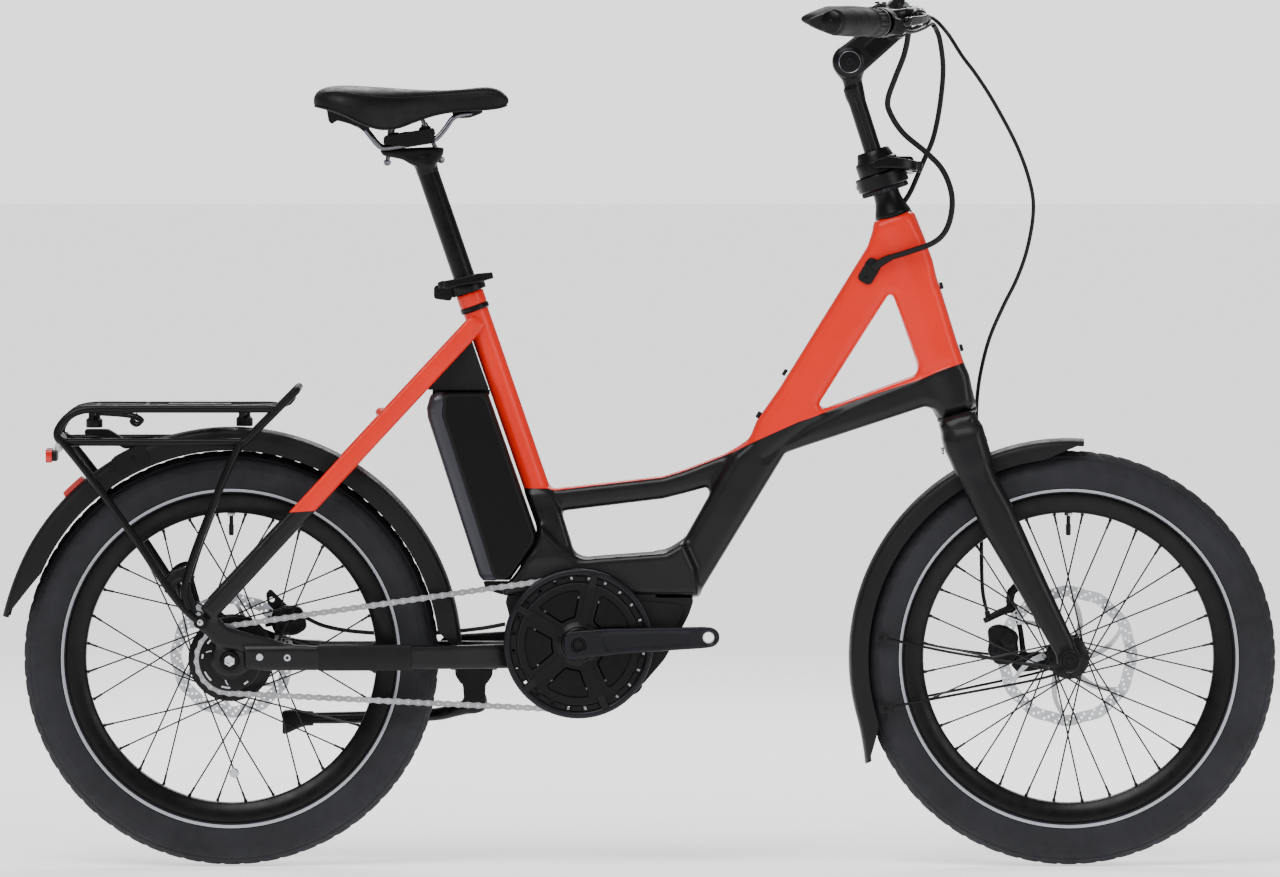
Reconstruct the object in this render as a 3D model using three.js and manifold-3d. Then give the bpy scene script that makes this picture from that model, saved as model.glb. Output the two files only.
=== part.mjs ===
import * as THREE from "three";
import { mergeVertices } from "three/addons/utils/BufferGeometryUtils.js";
import Module from "manifold-3d";

// A compact electric bicycle with 20 inch wheels, a low step-through frame, a stem that lowers
// and twists, and a telescoping seat post. Millimetres. +X points forwards, +Y to the rider's
// left and +Z up; the origin is on the floor below the middle of the bicycle's length.

// ---- driving dimensions ----------------------------------------------------------------
const GAP = 0.4; // clearance between neighbouring solids
const TYRE_RADIUS = 265;
const TYRE_HALF_WIDTH = 31;
const BEAD_RADIUS = 203;
const RIM_OUTER_RADIUS = 209;
const RIM_INNER_RADIUS = 185;
const RIM_HALF_WIDTH = 15;
const REAR_AXLE = [-520, 265];
const FRONT_AXLE = [545, 265];
const REAR_DROPOUT_Y = 68; // inner face of each rear dropout
const FRONT_DROPOUT_Y = 54.5; // inner face of each fork leg
const FRONT_ROTOR_RADIUS = 90;
const REAR_ROTOR_RADIUS = 80;
const ROTOR_THICKNESS = 2;
const CRANK_CENTRE = [-78, 285.7];
const CHAIN_Y = -50;
const CHAIN_HALF_WIDTH = 4;
const CHAIN_HALF_HEIGHT = 5;
const CHAINRING_PITCH_RADIUS = 85; // 42 teeth
const SPROCKET_PITCH_RADIUS = 42.6; // 21 teeth
const GUARD_RADIUS = 95;
const CRANK_LENGTH = 165;
const CRANK_ANGLE = 3.2; // degrees above the level at rest
const STEERING_FOOT = [403.3, 574.3]; // where the steering axis leaves the head tube
const STEERING_LEAN = 17.75; // degrees back from upright
const SEAT_TUBE_TOP = [-217.4, 731.3];
const SEAT_TUBE_FOOT = [-102.3, 397];
const SEAT_TUBE_RADIUS = 16;
const SEAT_POST_RADIUS = 13.6;
const SEAT_HEAD = [-275.7, 900.5];
const STEM_PIVOT = [266.2, 1023.1];
const BAR_CENTRE = [327, 1073.5];
const BAR_HALF_LENGTH = 310;
const BAR_BACKSWEEP = 89;
const BAR_RADIUS = 11;
const STAND_PIVOT = [-211, 55, 208];
const STAND_AXIS = [-0.0955, -0.9545, -0.2823];
const WHEEL_SEGMENTS = 32;
const HUB_SEGMENTS = 20;

const wasm = await Module();
wasm.setup();

// ---- colours ---------------------------------------------------------------------------
const finish = (color, roughness, metalness) =>
  new THREE.MeshStandardMaterial({ color, roughness, metalness });
const ORANGE = finish(0xf05a38, 0.45, 0.1);
const BLACK = finish(0x232428, 0.5, 0.2);
const SATIN_BLACK = finish(0x1c1d20, 0.4, 0.4);
const PLASTIC = finish(0x1e1f22, 0.6, 0);
const RUBBER = finish(0x2c2c30, 0.85, 0);
const STEEL = finish(0xb9bcc0, 0.3, 0.9);
const RED = finish(0xc01c18, 0.2, 0);

// ---- geometry helpers --------------------------------------------------------------------
const vec = (p) => new THREE.Vector3(p[0], p[1], p[2]);
const UP = new THREE.Vector3(0, 1, 0);
const degrees = (angle) => (angle * Math.PI) / 180;

// A closed geometry as a solid, with its faces turned outwards.
function solid(geometry) {
  const bare = new THREE.BufferGeometry();
  const source = geometry.index ? geometry.toNonIndexed() : geometry;
  bare.setAttribute("position", source.getAttribute("position"));
  const merged = mergeVertices(bare, 1e-4);
  const corners = merged.index.array;
  const triangles = [];
  for (let i = 0; i < corners.length; i += 3) {
    const [a, b, c] = [corners[i], corners[i + 1], corners[i + 2]];
    if (a !== b && b !== c && c !== a) triangles.push(a, b, c);
  }
  const build = (triVerts) =>
    new wasm.Manifold(
      new wasm.Mesh({
        numProp: 3,
        vertProperties: merged.attributes.position.array,
        triVerts: new Uint32Array(triVerts),
      }),
    );
  const made = build(triangles);
  if (made.volume() > 0) return made;
  for (let i = 0; i < triangles.length; i += 3) {
    [triangles[i], triangles[i + 1]] = [triangles[i + 1], triangles[i]];
  }
  return build(triangles);
}

const join = (...parts) => parts.reduce((all, one) => all.add(one));
const cut = (body, ...tools) => tools.reduce((all, one) => all.subtract(one), body);

// A flat plate: an outline in the XZ plane, from one Y to another, with holes.
function plate(outline, yLow, yHigh, holes = []) {
  const shape = new THREE.Shape(outline.map((p) => new THREE.Vector2(...p)));
  const geometry = new THREE.ExtrudeGeometry(shape, {
    depth: yHigh - yLow,
    bevelEnabled: false,
  });
  geometry.rotateX(Math.PI / 2);
  geometry.translate(0, yHigh, 0);
  return cut(solid(geometry), ...holes.map((hole) => plate(hole, yLow - 1, yHigh + 1)));
}

function block(low, high) {
  const size = high.map((h, i) => h - low[i]);
  const geometry = new THREE.BoxGeometry(...size);
  geometry.translate(...high.map((h, i) => (h + low[i]) / 2));
  return solid(geometry);
}

// A round bar between two points; endRadius tapers it.
function rod(from, to, radius, sides = 12, endRadius = radius) {
  const start = vec(from);
  const along = vec(to).sub(start);
  const geometry = new THREE.CylinderGeometry(endRadius, radius, along.length(), sides);
  geometry.translate(0, along.length() / 2, 0);
  geometry.applyQuaternion(new THREE.Quaternion().setFromUnitVectors(UP, along.normalize()));
  geometry.translate(start.x, start.y, start.z);
  return solid(geometry);
}

// A body turned about an axis: profile points are [radius, distance along the axis].
function turned(profile, base, direction, segments = 24) {
  const closed = [...profile, profile[0]].map((p) => new THREE.Vector2(...p));
  const geometry = new THREE.LatheGeometry(closed, segments);
  const axis = vec(direction).normalize();
  geometry.applyQuaternion(new THREE.Quaternion().setFromUnitVectors(UP, axis));
  geometry.translate(...base);
  return solid(geometry);
}

const ringProfile = (inner, outer, low, high) => [
  [inner, low],
  [outer, low],
  [outer, high],
  [inner, high],
];

// A bar of oval section along a smooth curve; across is its half width towards Y.
function bent(points, across, upright, sides = 8, steps = 12) {
  const curve = new THREE.CatmullRomCurve3(points.map(vec), false, "centripetal");
  const frames = curve.computeFrenetFrames(steps, false);
  const twist = Math.atan2(frames.binormals[0].y, frames.normals[0].y);
  const section = [];
  for (let i = 0; i < sides; i++) {
    const angle = ((i + 0.5) / sides) * 2 * Math.PI;
    const corner = new THREE.Vector2(across * Math.cos(angle), upright * Math.sin(angle));
    section.push(corner.rotateAround(new THREE.Vector2(), twist));
  }
  const geometry = new THREE.ExtrudeGeometry(new THREE.Shape(section), {
    steps,
    extrudePath: curve,
    bevelEnabled: false,
  });
  return solid(geometry);
}

// A round wire through a list of points, with two steps for each stretch.
const wire = (points, radius, sides = 6) =>
  bent(points, radius, radius, sides, 2 * (points.length - 1));

const arcPoint = (centre, radius, angle) => [
  centre[0] + radius * Math.cos(degrees(angle)),
  centre[1] + radius * Math.sin(degrees(angle)),
];

function arc(centre, radius, from, to, steps) {
  const points = [];
  for (let i = 0; i <= steps; i++) {
    points.push(arcPoint(centre, radius, from + ((to - from) * i) / steps));
  }
  return points;
}

const mirrored = (points) => points.map(([x, y, z]) => [x, -y, z]);

const bike = new THREE.Group();

function add(name, body, material) {
  const data = body.getMesh();
  const geometry = new THREE.BufferGeometry();
  const positions = new Float32Array(data.numVert * 3);
  for (let i = 0; i < data.numVert; i++) {
    const first = i * data.numProp;
    positions.set(data.vertProperties.subarray(first, first + 3), i * 3);
  }
  geometry.setAttribute("position", new THREE.BufferAttribute(positions, 3));
  geometry.setIndex(new THREE.BufferAttribute(data.triVerts, 1));
  geometry.computeVertexNormals();
  const mesh = new THREE.Mesh(geometry, material);
  mesh.name = name;
  bike.add(mesh);
}

// ---- steering axis -----------------------------------------------------------------------
const STEER = [-Math.sin(degrees(STEERING_LEAN)), 0, Math.cos(degrees(STEERING_LEAN))];
const steerPoint = (t) => [STEERING_FOOT[0] + STEER[0] * t, 0, STEERING_FOOT[1] + STEER[2] * t];
const STEERER_BORE = 17;
const STEERER_RADIUS = 14.3;
const STEERER_TOP = 296;
const HEAD_TOP = 264;
const COLLAR_TOP = 355;
const POST_RADIUS = 11;
const POST_FOOT = 300;

// ---- main frame ----------------------------------------------------------------------------
function mainFrame() {
  const headBore = rod(steerPoint(-40), steerPoint(300), STEERER_BORE, 24);
  const upperOutline = [
    [298.7, 819], [343, 832], [351, 820], [360, 800], [371.5, 770], [376, 745], [383, 727],
    [402, 663.5], [409.6, 641.8], [383, 632.8], [356, 620.8], [315, 607.8], [269, 592.8],
    [219, 572.8], [201, 566.8], [172, 553.8], [146, 542.1], [138.5, 541.5], [148.3, 566],
    [178.4, 609], [289.7, 788.6], [297.7, 802],
  ];
  const window = [[318, 725], [325, 720], [353.6, 634], [350, 626], [233, 582], [227, 587]];
  add("upper_frame", cut(plate(upperOutline, -27, 27, [window]), headBore), ORANGE);

  const lowerOutline = [
    [410.2, 641], [418, 625], [424, 585], [384, 573], [374, 582], [369, 586], [360, 585],
    [280, 558], [201, 532], [184.6, 526], [75.6, 347], [70, 343.9], [20, 343.9], [20, 398],
    [42, 403], [55, 413], [91, 477], [122.1, 530.4], [146, 541.4], [172, 553], [201, 566],
    [219, 572], [269, 592], [315, 607], [356, 620], [383, 632],
  ];
  add("lower_frame", cut(plate(lowerOutline, -30, 30), headBore), BLACK);

  const lowTube = [
    [121.2, 530.4], [101.6, 522], [55, 504], [29, 496], [-23, 490], [-112.6, 479.3],
    [-103, 451.5], [29, 467.5], [55, 474], [83, 482], [90.2, 477.2],
  ];
  add("low_top_tube", plate(lowTube, -16, 16), BLACK);

  const seatTop = [SEAT_TUBE_TOP[0], 0, SEAT_TUBE_TOP[1]];
  const seatFoot = [SEAT_TUBE_FOOT[0], 0, SEAT_TUBE_FOOT[1]];
  const seatUp = vec(seatTop).sub(vec(seatFoot)).normalize();
  const boreFoot = vec(seatFoot).addScaledVector(seatUp, 20).toArray();
  const boreTop = vec(seatTop).addScaledVector(seatUp, 20).toArray();
  const seatTube = cut(
    rod(seatFoot, seatTop, SEAT_TUBE_RADIUS, 24),
    rod(boreFoot, boreTop, SEAT_POST_RADIUS + 0.3, 24),
  );
  add("seat_tube", seatTube, ORANGE);

  const motorOutline = [
    [19.6, 397.4], [-75, 391.4], [-124, 391.4], [-140, 380], [-160, 350], [-166, 320],
    [-160, 262], [-140, 230], [-110, 213], [-40, 213], [4.2, 232.4], [13.9, 244.7],
    [30.9, 264.2], [55.3, 308.1], [62, 321], [69.8, 343.5], [19.6, 343.5],
  ];
  const axleBore = rod(
    [CRANK_CENTRE[0], -60, CRANK_CENTRE[1]], [CRANK_CENTRE[0], 60, CRANK_CENTRE[1]], 12.5, 20,
  );
  add("motor_housing", cut(plate(motorOutline, -40, 40), axleBore), PLASTIC);
}

// Right-hand stays and dropouts; side -1 is the right, +1 the left.
function rearTriangle(side, label) {
  const stay = [[-214, 25, 684], [-329, 49, 566], [-428, 61, 455], [-533, 70.5, 341]];
  const placed = stay.map(([x, y, z]) => [x, side * y, z]);
  add("seat_stay_" + label, bent(placed, 8, 12.5, 8, 8), ORANGE);

  const inner = REAR_DROPOUT_Y;
  const outer = REAR_DROPOUT_Y + 7;
  const [low, high] = side < 0 ? [-outer, -inner] : [inner, outer];
  const hanger = [
    [-566, 313], [-556, 322], [-546, 320], [-531, 313], [-502, 301.5], [-473, 293], [-430, 284],
    [-406, 283], [-406, 254], [-489, 254], [-498, 243], [-520, 240], [-541, 248], [-549, 268],
    [-545, 290],
  ];
  const axleHole = arc(REAR_AXLE, 6.8, 360, 22.5, 15);
  const run = [[-409, 70, 268.5], [-300, 62, 268.5], [-232, 54, 268.5], [-167.5, 36, 268.5]];
  const chainStay = join(
    plate(hanger, low, high, [axleHole]),
    bent(run.map(([x, y, z]) => [x, side * y, z]), 7.5, 15.5, 8, 8),
  );
  add("chain_stay_" + label, chainStay, BLACK);
}

function rearAxle() {
  const reach = REAR_DROPOUT_Y + 7;
  const at = (y) => [REAR_AXLE[0], y, REAR_AXLE[1]];
  const axle = join(
    rod(at(-reach - 9), at(reach + 9), 6, 16),
    rod(at(-reach - 8), at(-reach - GAP), 11, 16),
    rod(at(reach + GAP), at(reach + 8), 11, 16),
  );
  add("rear_axle", axle, STEEL);
}

// ---- wheels --------------------------------------------------------------------------------
function tyreProfile() {
  const outside = [
    [BEAD_RADIUS + GAP, -11], [RIM_OUTER_RADIUS + 1, -11.2], [216, -27],
    [234, -TYRE_HALF_WIDTH], [256, -20], [TYRE_RADIUS, 0], [256, 20], [234, TYRE_HALF_WIDTH],
    [216, 27], [RIM_OUTER_RADIUS + 1, 11.2], [BEAD_RADIUS + GAP, 11],
  ];
  const inside = [[BEAD_RADIUS + 1, 8], [228, 24], [258, 0], [228, -24], [BEAD_RADIUS + 1, -8]];
  return [...outside, ...inside];
}

function rimProfile() {
  const wall = RIM_HALF_WIDTH;
  return [
    [RIM_INNER_RADIUS, -9], [RIM_OUTER_RADIUS, -wall], [RIM_OUTER_RADIUS, -12.8],
    [202, -11.8], [202, 11.8], [RIM_OUTER_RADIUS, 12.8], [RIM_OUTER_RADIUS, wall],
    [RIM_INNER_RADIUS, 9],
  ];
}

function wheel(label, centre, flangeRadius, flangeY, spokesPerSide) {
  const base = [centre[0], 0, centre[1]];
  const across = [0, 1, 0];
  const flangeRing = ringProfile(flangeRadius + GAP, flangeRadius + 4, -1.5, 1.5);
  const nippleRing = ringProfile(RIM_INNER_RADIUS - 2.5, RIM_INNER_RADIUS - GAP, -5, 5);
  let spokes = turned(nippleRing, base, across, WHEEL_SEGMENTS / 2);
  for (const side of [-1, 1]) {
    const flangeBase = [centre[0], side * flangeY, centre[1]];
    spokes = spokes.add(turned(flangeRing, flangeBase, across, HUB_SEGMENTS));
    for (let i = 0; i < spokesPerSide; i++) {
      const turn = (360 / spokesPerSide) * (i + (side > 0 ? 0.5 : 0));
      const lead = i % 2 ? 24 : -24;
      const [x0, z0] = arcPoint(centre, flangeRadius + 2.2, turn + lead);
      const [x1, z1] = arcPoint(centre, RIM_INNER_RADIUS - 1.6, turn);
      spokes = spokes.add(rod([x0, side * flangeY, z0], [x1, side * 2, z1], 1.1, 3));
    }
  }
  add(label + "_spokes", spokes, SATIN_BLACK);
  add(label + "_rim", turned(rimProfile(), base, across, WHEEL_SEGMENTS), SATIN_BLACK);
  add(label + "_tyre", turned(tyreProfile(), base, across, WHEEL_SEGMENTS), RUBBER);
}

function rotor(label, centre, radius, y, hubRadius) {
  const base = [centre[0], y, centre[1]];
  const half = ROTOR_THICKNESS / 2;
  let disc = turned(ringProfile(radius - 12, radius, -half, half), base, [0, 1, 0], 24);
  disc = disc.add(
    turned(ringProfile(hubRadius, hubRadius + 6, -half, half), base, [0, 1, 0], HUB_SEGMENTS),
  );
  for (let i = 0; i < 5; i++) {
    const [x0, z0] = arcPoint(centre, hubRadius + 3, i * 72);
    const [x1, z1] = arcPoint(centre, radius - 8, i * 72 + 28);
    const along = vec([x1 - x0, 0, z1 - z0]);
    const sideways = new THREE.Vector3(-along.z, 0, along.x).normalize().multiplyScalar(3.5);
    const corners = [
      [x0 + sideways.x, z0 + sideways.z], [x1 + sideways.x, z1 + sideways.z],
      [x1 - sideways.x, z1 - sideways.z], [x0 - sideways.x, z0 - sideways.z],
    ];
    disc = disc.add(plate(corners, y - half, y + half));
  }
  add(label + "_rotor", disc, STEEL);
}

function hubs() {
  const front = [
    [9, -49], [13, -49], [14, -29], [26, -28], [26, -24], [15, -18], [15, 18], [26, 24],
    [26, 28], [17.5, 30], [17.5, 49], [9, 49],
  ];
  add("front_hub", turned(front, [FRONT_AXLE[0], 0, FRONT_AXLE[1]], [0, 1, 0], HUB_SEGMENTS), SATIN_BLACK);
  const rear = [
    [8, -44], [34, -44], [34, -33], [54, -30], [54, -26], [46, -20], [46, 20], [54, 26],
    [54, 30], [17.5, 40], [17.5, 60], [8, 60],
  ];
  add("rear_hub", turned(rear, [REAR_AXLE[0], 0, REAR_AXLE[1]], [0, 1, 0], HUB_SEGMENTS), SATIN_BLACK);
}

// ---- fork ------------------------------------------------------------------------------------
function fork() {
  const steerer = cut(
    rod(steerPoint(-30), steerPoint(STEERER_TOP), STEERER_RADIUS, 20),
    rod(steerPoint(60), steerPoint(STEERER_TOP + 20), POST_RADIUS + 0.6, 20),
  );
  const crownOutline = [
    [384, 569.5], [424, 581.5], [429, 570], [444, 521], [430, 500], [404, 500], [389, 530],
    [381, 560],
  ];
  const leg = [
    [392, 528], [389, 543], [400, 556], [432, 562], [444, 521], [452.7, 497.5], [472.5, 461.3],
    [551, 288], [557, 262], [545, 250], [530, 253], [527, 272], [434.9, 428.3], [412, 477.5],
  ];
  const axleHole = arc(FRONT_AXLE, 6.3, 360, 22.5, 15);
  const inner = FRONT_DROPOUT_Y;
  const bridge = plate(crownOutline, -66, 66);
  const wheelRoom = turned(
    [[0, -38], [288, -38], [288, 38], [0, 38]], [FRONT_AXLE[0], 0, FRONT_AXLE[1]], [0, 1, 0], 48,
  );
  const body = join(
    cut(bridge, wheelRoom),
    plate(leg, -inner - 18, -inner, [axleHole]),
    plate(leg, inner, inner + 18, [axleHole]),
    steerer,
  );
  add("fork", body, BLACK);

  const at = (y) => [FRONT_AXLE[0], y, FRONT_AXLE[1]];
  const reach = inner + 18;
  const axle = join(
    rod(at(-reach - 3), at(reach + 3), 6 - 0.2, 16),
    rod(at(-reach - 6), at(-reach - GAP), 9, 16),
    rod(at(reach + GAP), at(reach + 6), 9, 16),
  );
  add("front_axle", axle, STEEL);
}

function calipers() {
  const [fx, fz] = FRONT_AXLE;
  const frontRoom = ringProfile(0, FRONT_ROTOR_RADIUS + 3, -3, 3);
  const front = cut(
    plate([[446, 324], [462, 336], [482, 330], [492, 262], [480, 246], [462, 252]], 34, 53.5),
    turned(frontRoom, [fx, 43, fz], [0, 1, 0], 32),
  );
  add("front_caliper", front, SATIN_BLACK);
  const [rx, rz] = REAR_AXLE;
  const rearRoom = ringProfile(0, REAR_ROTOR_RADIUS + 3, -3, 3);
  const rear = cut(
    plate([[-478, 322], [-470, 344], [-448, 341], [-428, 318], [-424, 290], [-446, 286]], 44, 67.5),
    turned(rearRoom, [rx, 54, rz], [0, 1, 0], 32),
  );
  add("rear_caliper", rear, SATIN_BLACK);
}

// ---- mudguards ---------------------------------------------------------------------------------
function mudguard(centre, radius, from, to, halfWidth) {
  const steps = 14;
  const outer = arc(centre, radius, from, to, steps);
  const inner = arc(centre, radius - 24, to, from, steps);
  const shell = plate([...outer, ...inner], -halfWidth, halfWidth);
  const hollow = plate(
    [
      ...arc(centre, radius - 3, from - 4, to + 4, steps),
      ...arc(centre, radius - 40, to + 4, from - 4, steps),
    ],
    -halfWidth + 2.5,
    halfWidth - 2.5,
  );
  return cut(shell, hollow);
}

function mudguards() {
  add("rear_mudguard", mudguard(REAR_AXLE, 295.5, 3, 169, 36), PLASTIC);
  add("front_mudguard", mudguard(FRONT_AXLE, 280, 88, 207, 36), PLASTIC);
}

// ---- rear rack -----------------------------------------------------------------------------------
function rack() {
  const halfWidth = 66;
  const tube = 5;
  const topZ = 584;
  const bottomZ = 542;
  const rail = (side) => {
    const y = side * halfWidth;
    return wire(
      [
        [-434, y, 609], [-466, y, topZ], [-705, y, topZ], [-731, y, 578], [-740, y, 553],
        [-733, y, bottomZ], [-500, y, bottomZ], [-468, y, 577],
      ],
      tube,
    );
  };
  const bar = (x, z) => rod([x, -halfWidth, z], [x, halfWidth, z], tube, 8);
  const deck = join(
    rail(-1), rail(1), bar(-731, 578), bar(-434, 609), bar(-545, topZ),
    bar(-628, topZ),
    wire([[-729, 0, 579], [-700, 0, topZ], [-466, 0, topZ], [-434, 0, 609]], 4),
    block([-600, -22, topZ - 3], [-520, 22, topZ + 5]),
  );
  add("rack_deck", deck, SATIN_BLACK);

  for (const [side, label] of [[-1, "right"], [1, "left"]]) {
    const top = halfWidth + 10.6;
    const foot = REAR_DROPOUT_Y + 7 + GAP + 5;
    const places = (points) => points.map(([x, y, z]) => [x, side * y, z]);
    const web = [[-600, 358], [-592, 388], [-566, 388], [-560, 330], [-568, 326]];
    const [low, high] = side < 0 ? [-foot - 2, -foot + 2] : [foot - 2, foot + 2];
    const legs = join(
      wire(places([[-733, top, 542], [-597, foot, 356], [-557, foot, 314]]), tube),
      wire(places([[-500, top, 542], [-571, foot, 378], [-577, foot, 340]]), tube),
      plate(web, low, high),
    );
    add("rack_leg_" + label, legs, SATIN_BLACK);
  }

  const lamp = join(
    turned([[0, 0], [17, 0], [20, -6], [17, -12], [0, -13]], [-747, 0, 522], [0, 0, 1], 20),
    block([-752, -30, 510], [-745, 30, 532]),
  );
  add("rear_light", lamp, RED);
}

// ---- drivetrain ----------------------------------------------------------------------------------
// Outline of a belt or chain of half height h around two wheels on the line between centres.
function loopAround(h) {
  const [x1, z1] = REAR_AXLE;
  const [x2, z2] = CRANK_CENTRE;
  const r1 = SPROCKET_PITCH_RADIUS + h;
  const r2 = CHAINRING_PITCH_RADIUS + h;
  const tilt = (Math.atan2(z2 - z1, x2 - x1) * 180) / Math.PI;
  const spread = (Math.acos((r1 - r2) / Math.hypot(x2 - x1, z2 - z1)) * 180) / Math.PI;
  return [
    ...arc(REAR_AXLE, r1, tilt + spread, tilt + 360 - spread, 14),
    ...arc(CRANK_CENTRE, r2, tilt - spread, tilt + spread, 20),
  ];
}

function drivetrain() {
  const chain = plate(
    loopAround(CHAIN_HALF_HEIGHT), CHAIN_Y - CHAIN_HALF_WIDTH, CHAIN_Y + CHAIN_HALF_WIDTH,
    [loopAround(-CHAIN_HALF_HEIGHT)],
  );
  add("chain", chain, STEEL);

  const [cx, cz] = CRANK_CENTRE;
  const toothTip = CHAINRING_PITCH_RADIUS - CHAIN_HALF_HEIGHT - 1.5;
  const ring = turned(
    [
      [14.4, -60], [30, -60], [40, -58], [GUARD_RADIUS, -58], [GUARD_RADIUS, -54.5], [60, -54.5],
      [toothTip, -52], [toothTip, -48], [60, -48], [58, -52], [14.4, -52],
    ],
    [cx, 0, cz], [0, 1, 0], 24,
  );
  add("chainring", ring, SATIN_BLACK);

  const axle = rod([cx, -71.6, cz], [cx, 71.6, cz], 12, 20);
  add("crank_axle", axle, STEEL);

  for (const [side, label] of [[-1, "right"], [1, "left"]]) {
    const angle = CRANK_ANGLE + (side < 0 ? 0 : 180);
    const pedalEye = arcPoint(CRANK_CENTRE, CRANK_LENGTH, angle);
    const arm = [
      ...arc(CRANK_CENTRE, 18, angle + 60, angle + 300, 8),
      ...arc(pedalEye, 14.5, angle - 90, angle + 90, 8),
    ];
    const [low, high] = side < 0 ? [-86, -72] : [72, 86];
    const hole = arc(pedalEye, 7, 360, 30, 11);
    add("crank_arm_" + label, plate(arm, low, high, [hole]), SATIN_BLACK);
  }

  const sprocket = turned(
    [
      [30, -54], [SPROCKET_PITCH_RADIUS - CHAIN_HALF_HEIGHT - 1, -52],
      [SPROCKET_PITCH_RADIUS - CHAIN_HALF_HEIGHT - 1, -48], [30, -45], [12, -45], [12, -60],
      [22, -60], [24, -54],
    ],
    [REAR_AXLE[0], 0, REAR_AXLE[1]], [0, 1, 0], 20,
  );
  add("rear_sprocket", sprocket, SATIN_BLACK);
}

// ---- battery, stand, clamps ------------------------------------------------------------------------
function batteryAndStand() {
  const pack = [
    [-193, 604], [-130, 421.5], [-131, 414], [-165.5, 364.4], [-200.3, 364.4], [-270, 574],
    [-270, 597], [-263, 604],
  ];
  add("battery", plate(pack, -41, 41), PLASTIC);
  add("battery_lock", plate([[-232, 648], [-212, 664], [-194, 611], [-232, 611]], -15, 15), PLASTIC);

  const mount = block([-234, 42, 226], [-190, 66, 252.3]);
  add("kickstand_mount", mount, SATIN_BLACK);
  const [px, py, pz] = STAND_PIVOT;
  const [ax, ay, az] = STAND_AXIS;
  const reach = 9.6;
  const leg = join(
    rod([px - ax * reach, py - ay * reach, pz - az * reach],
      [px + ax * reach, py + ay * reach, pz + az * reach], 14, 20),
    bent([[-205, 56, 204], [-235, 60, 195], [-265, 74, 188], [-350, 86, 184], [-440, 93, 182]],
      8, 8, 8, 12),
    plate([[-458, 192], [-440, 195], [-424, 182], [-424, 168], [-442, 166], [-458, 182]], 82, 102),
  );
  add("kickstand_leg", leg, SATIN_BLACK);
}

const seatAxis = vec([SEAT_TUBE_TOP[0] - SEAT_TUBE_FOOT[0], 0, SEAT_TUBE_TOP[1] - SEAT_TUBE_FOOT[1]])
  .normalize();
const seatPoint = (t) => [SEAT_TUBE_TOP[0] + seatAxis.x * t, 0, SEAT_TUBE_TOP[1] + seatAxis.z * t];

function seat() {
  const clampFoot = seatPoint(-6);
  const clampProfile = [
    [16.5, 0], [22, 0], [23, 6], [22, 19], [14.2, 19], [14.2, 6.6], [16.5, 6.6],
  ];
  const clamp = join(
    turned(clampProfile, clampFoot, seatAxis.toArray(), 24),
    block([-252, -8, 724], [-239, 8, 736]),
  );
  const room = rod(seatPoint(-30), seatPoint(0.5), SEAT_TUBE_RADIUS + 0.4, 24);
  const postRoom = rod(seatPoint(-30), seatPoint(40), SEAT_POST_RADIUS + 0.5, 24);
  add("seat_clamp", cut(clamp, room, postRoom), SATIN_BLACK);

  const lever = wire([[-252, -14, 741], [-244, -28, 742], [-214, -31, 748], [-186, -26, 752]], 4.5);
  add("seat_clamp_lever", lever, SATIN_BLACK);

  const head = [[-328, 909], [-322, 894], [-286, 891], [-254, 897], [-249, 911], [-262, 915]];
  const post = join(
    rod(seatPoint(-130), seatPoint(172), SEAT_POST_RADIUS, 24),
    plate(head, -17, 17),
    plate([[-325, 918.5], [-324, 930], [-262, 934], [-261, 920]], -14, 14),
    rod([-274, 0, 942], [-252, 0, 898], 3.5, 8),
    rod([-316, 0, 938], [-321, 0, 897], 3.5, 8),
  );
  add("seat_post", post, SATIN_BLACK);

  const railSide = [
    [-361, 27, 943], [-345, 26, 934], [-331, 23.5, 915], [-320, 22, 914.6], [-261, 22, 924.4],
    [-248, 20, 934], [-235, 16, 953], [-215, 9, 956],
  ];
  const rails = wire([...railSide, ...mirrored(railSide).reverse()], 3.5);
  add("saddle_rails", rails, STEEL);

  const top = [
    [-414, 975], [-403, 989], [-380, 993], [-324, 991], [-270, 988], [-197, 991], [-177, 985],
    [-167, 974], [-171, 967], [-206, 961], [-237, 960.5], [-274, 953], [-305, 944], [-345, 948],
    [-379, 957], [-411, 969],
  ];
  const outline = [
    [-414, -48], [-398, -70], [-365, -77], [-330, -66], [-296, -40], [-262, -24], [-200, -17],
    [-176, -13], [-167, 0],
  ];
  const loop = [...outline, ...outline.slice(0, -1).reverse().map(([x, y]) => [x, -y])];
  const cutter = new THREE.ExtrudeGeometry(
    new THREE.Shape(loop.map((p) => new THREE.Vector2(...p))), { depth: 80, bevelEnabled: false },
  );
  cutter.translate(0, 0, 930);
  const railRoom = wire([...railSide, ...mirrored(railSide).reverse()], 4.2);
  const saddle = cut(plate(top, -90, 90).intersect(solid(cutter)), railRoom);
  add("saddle_pad", saddle, RUBBER);
}

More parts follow.
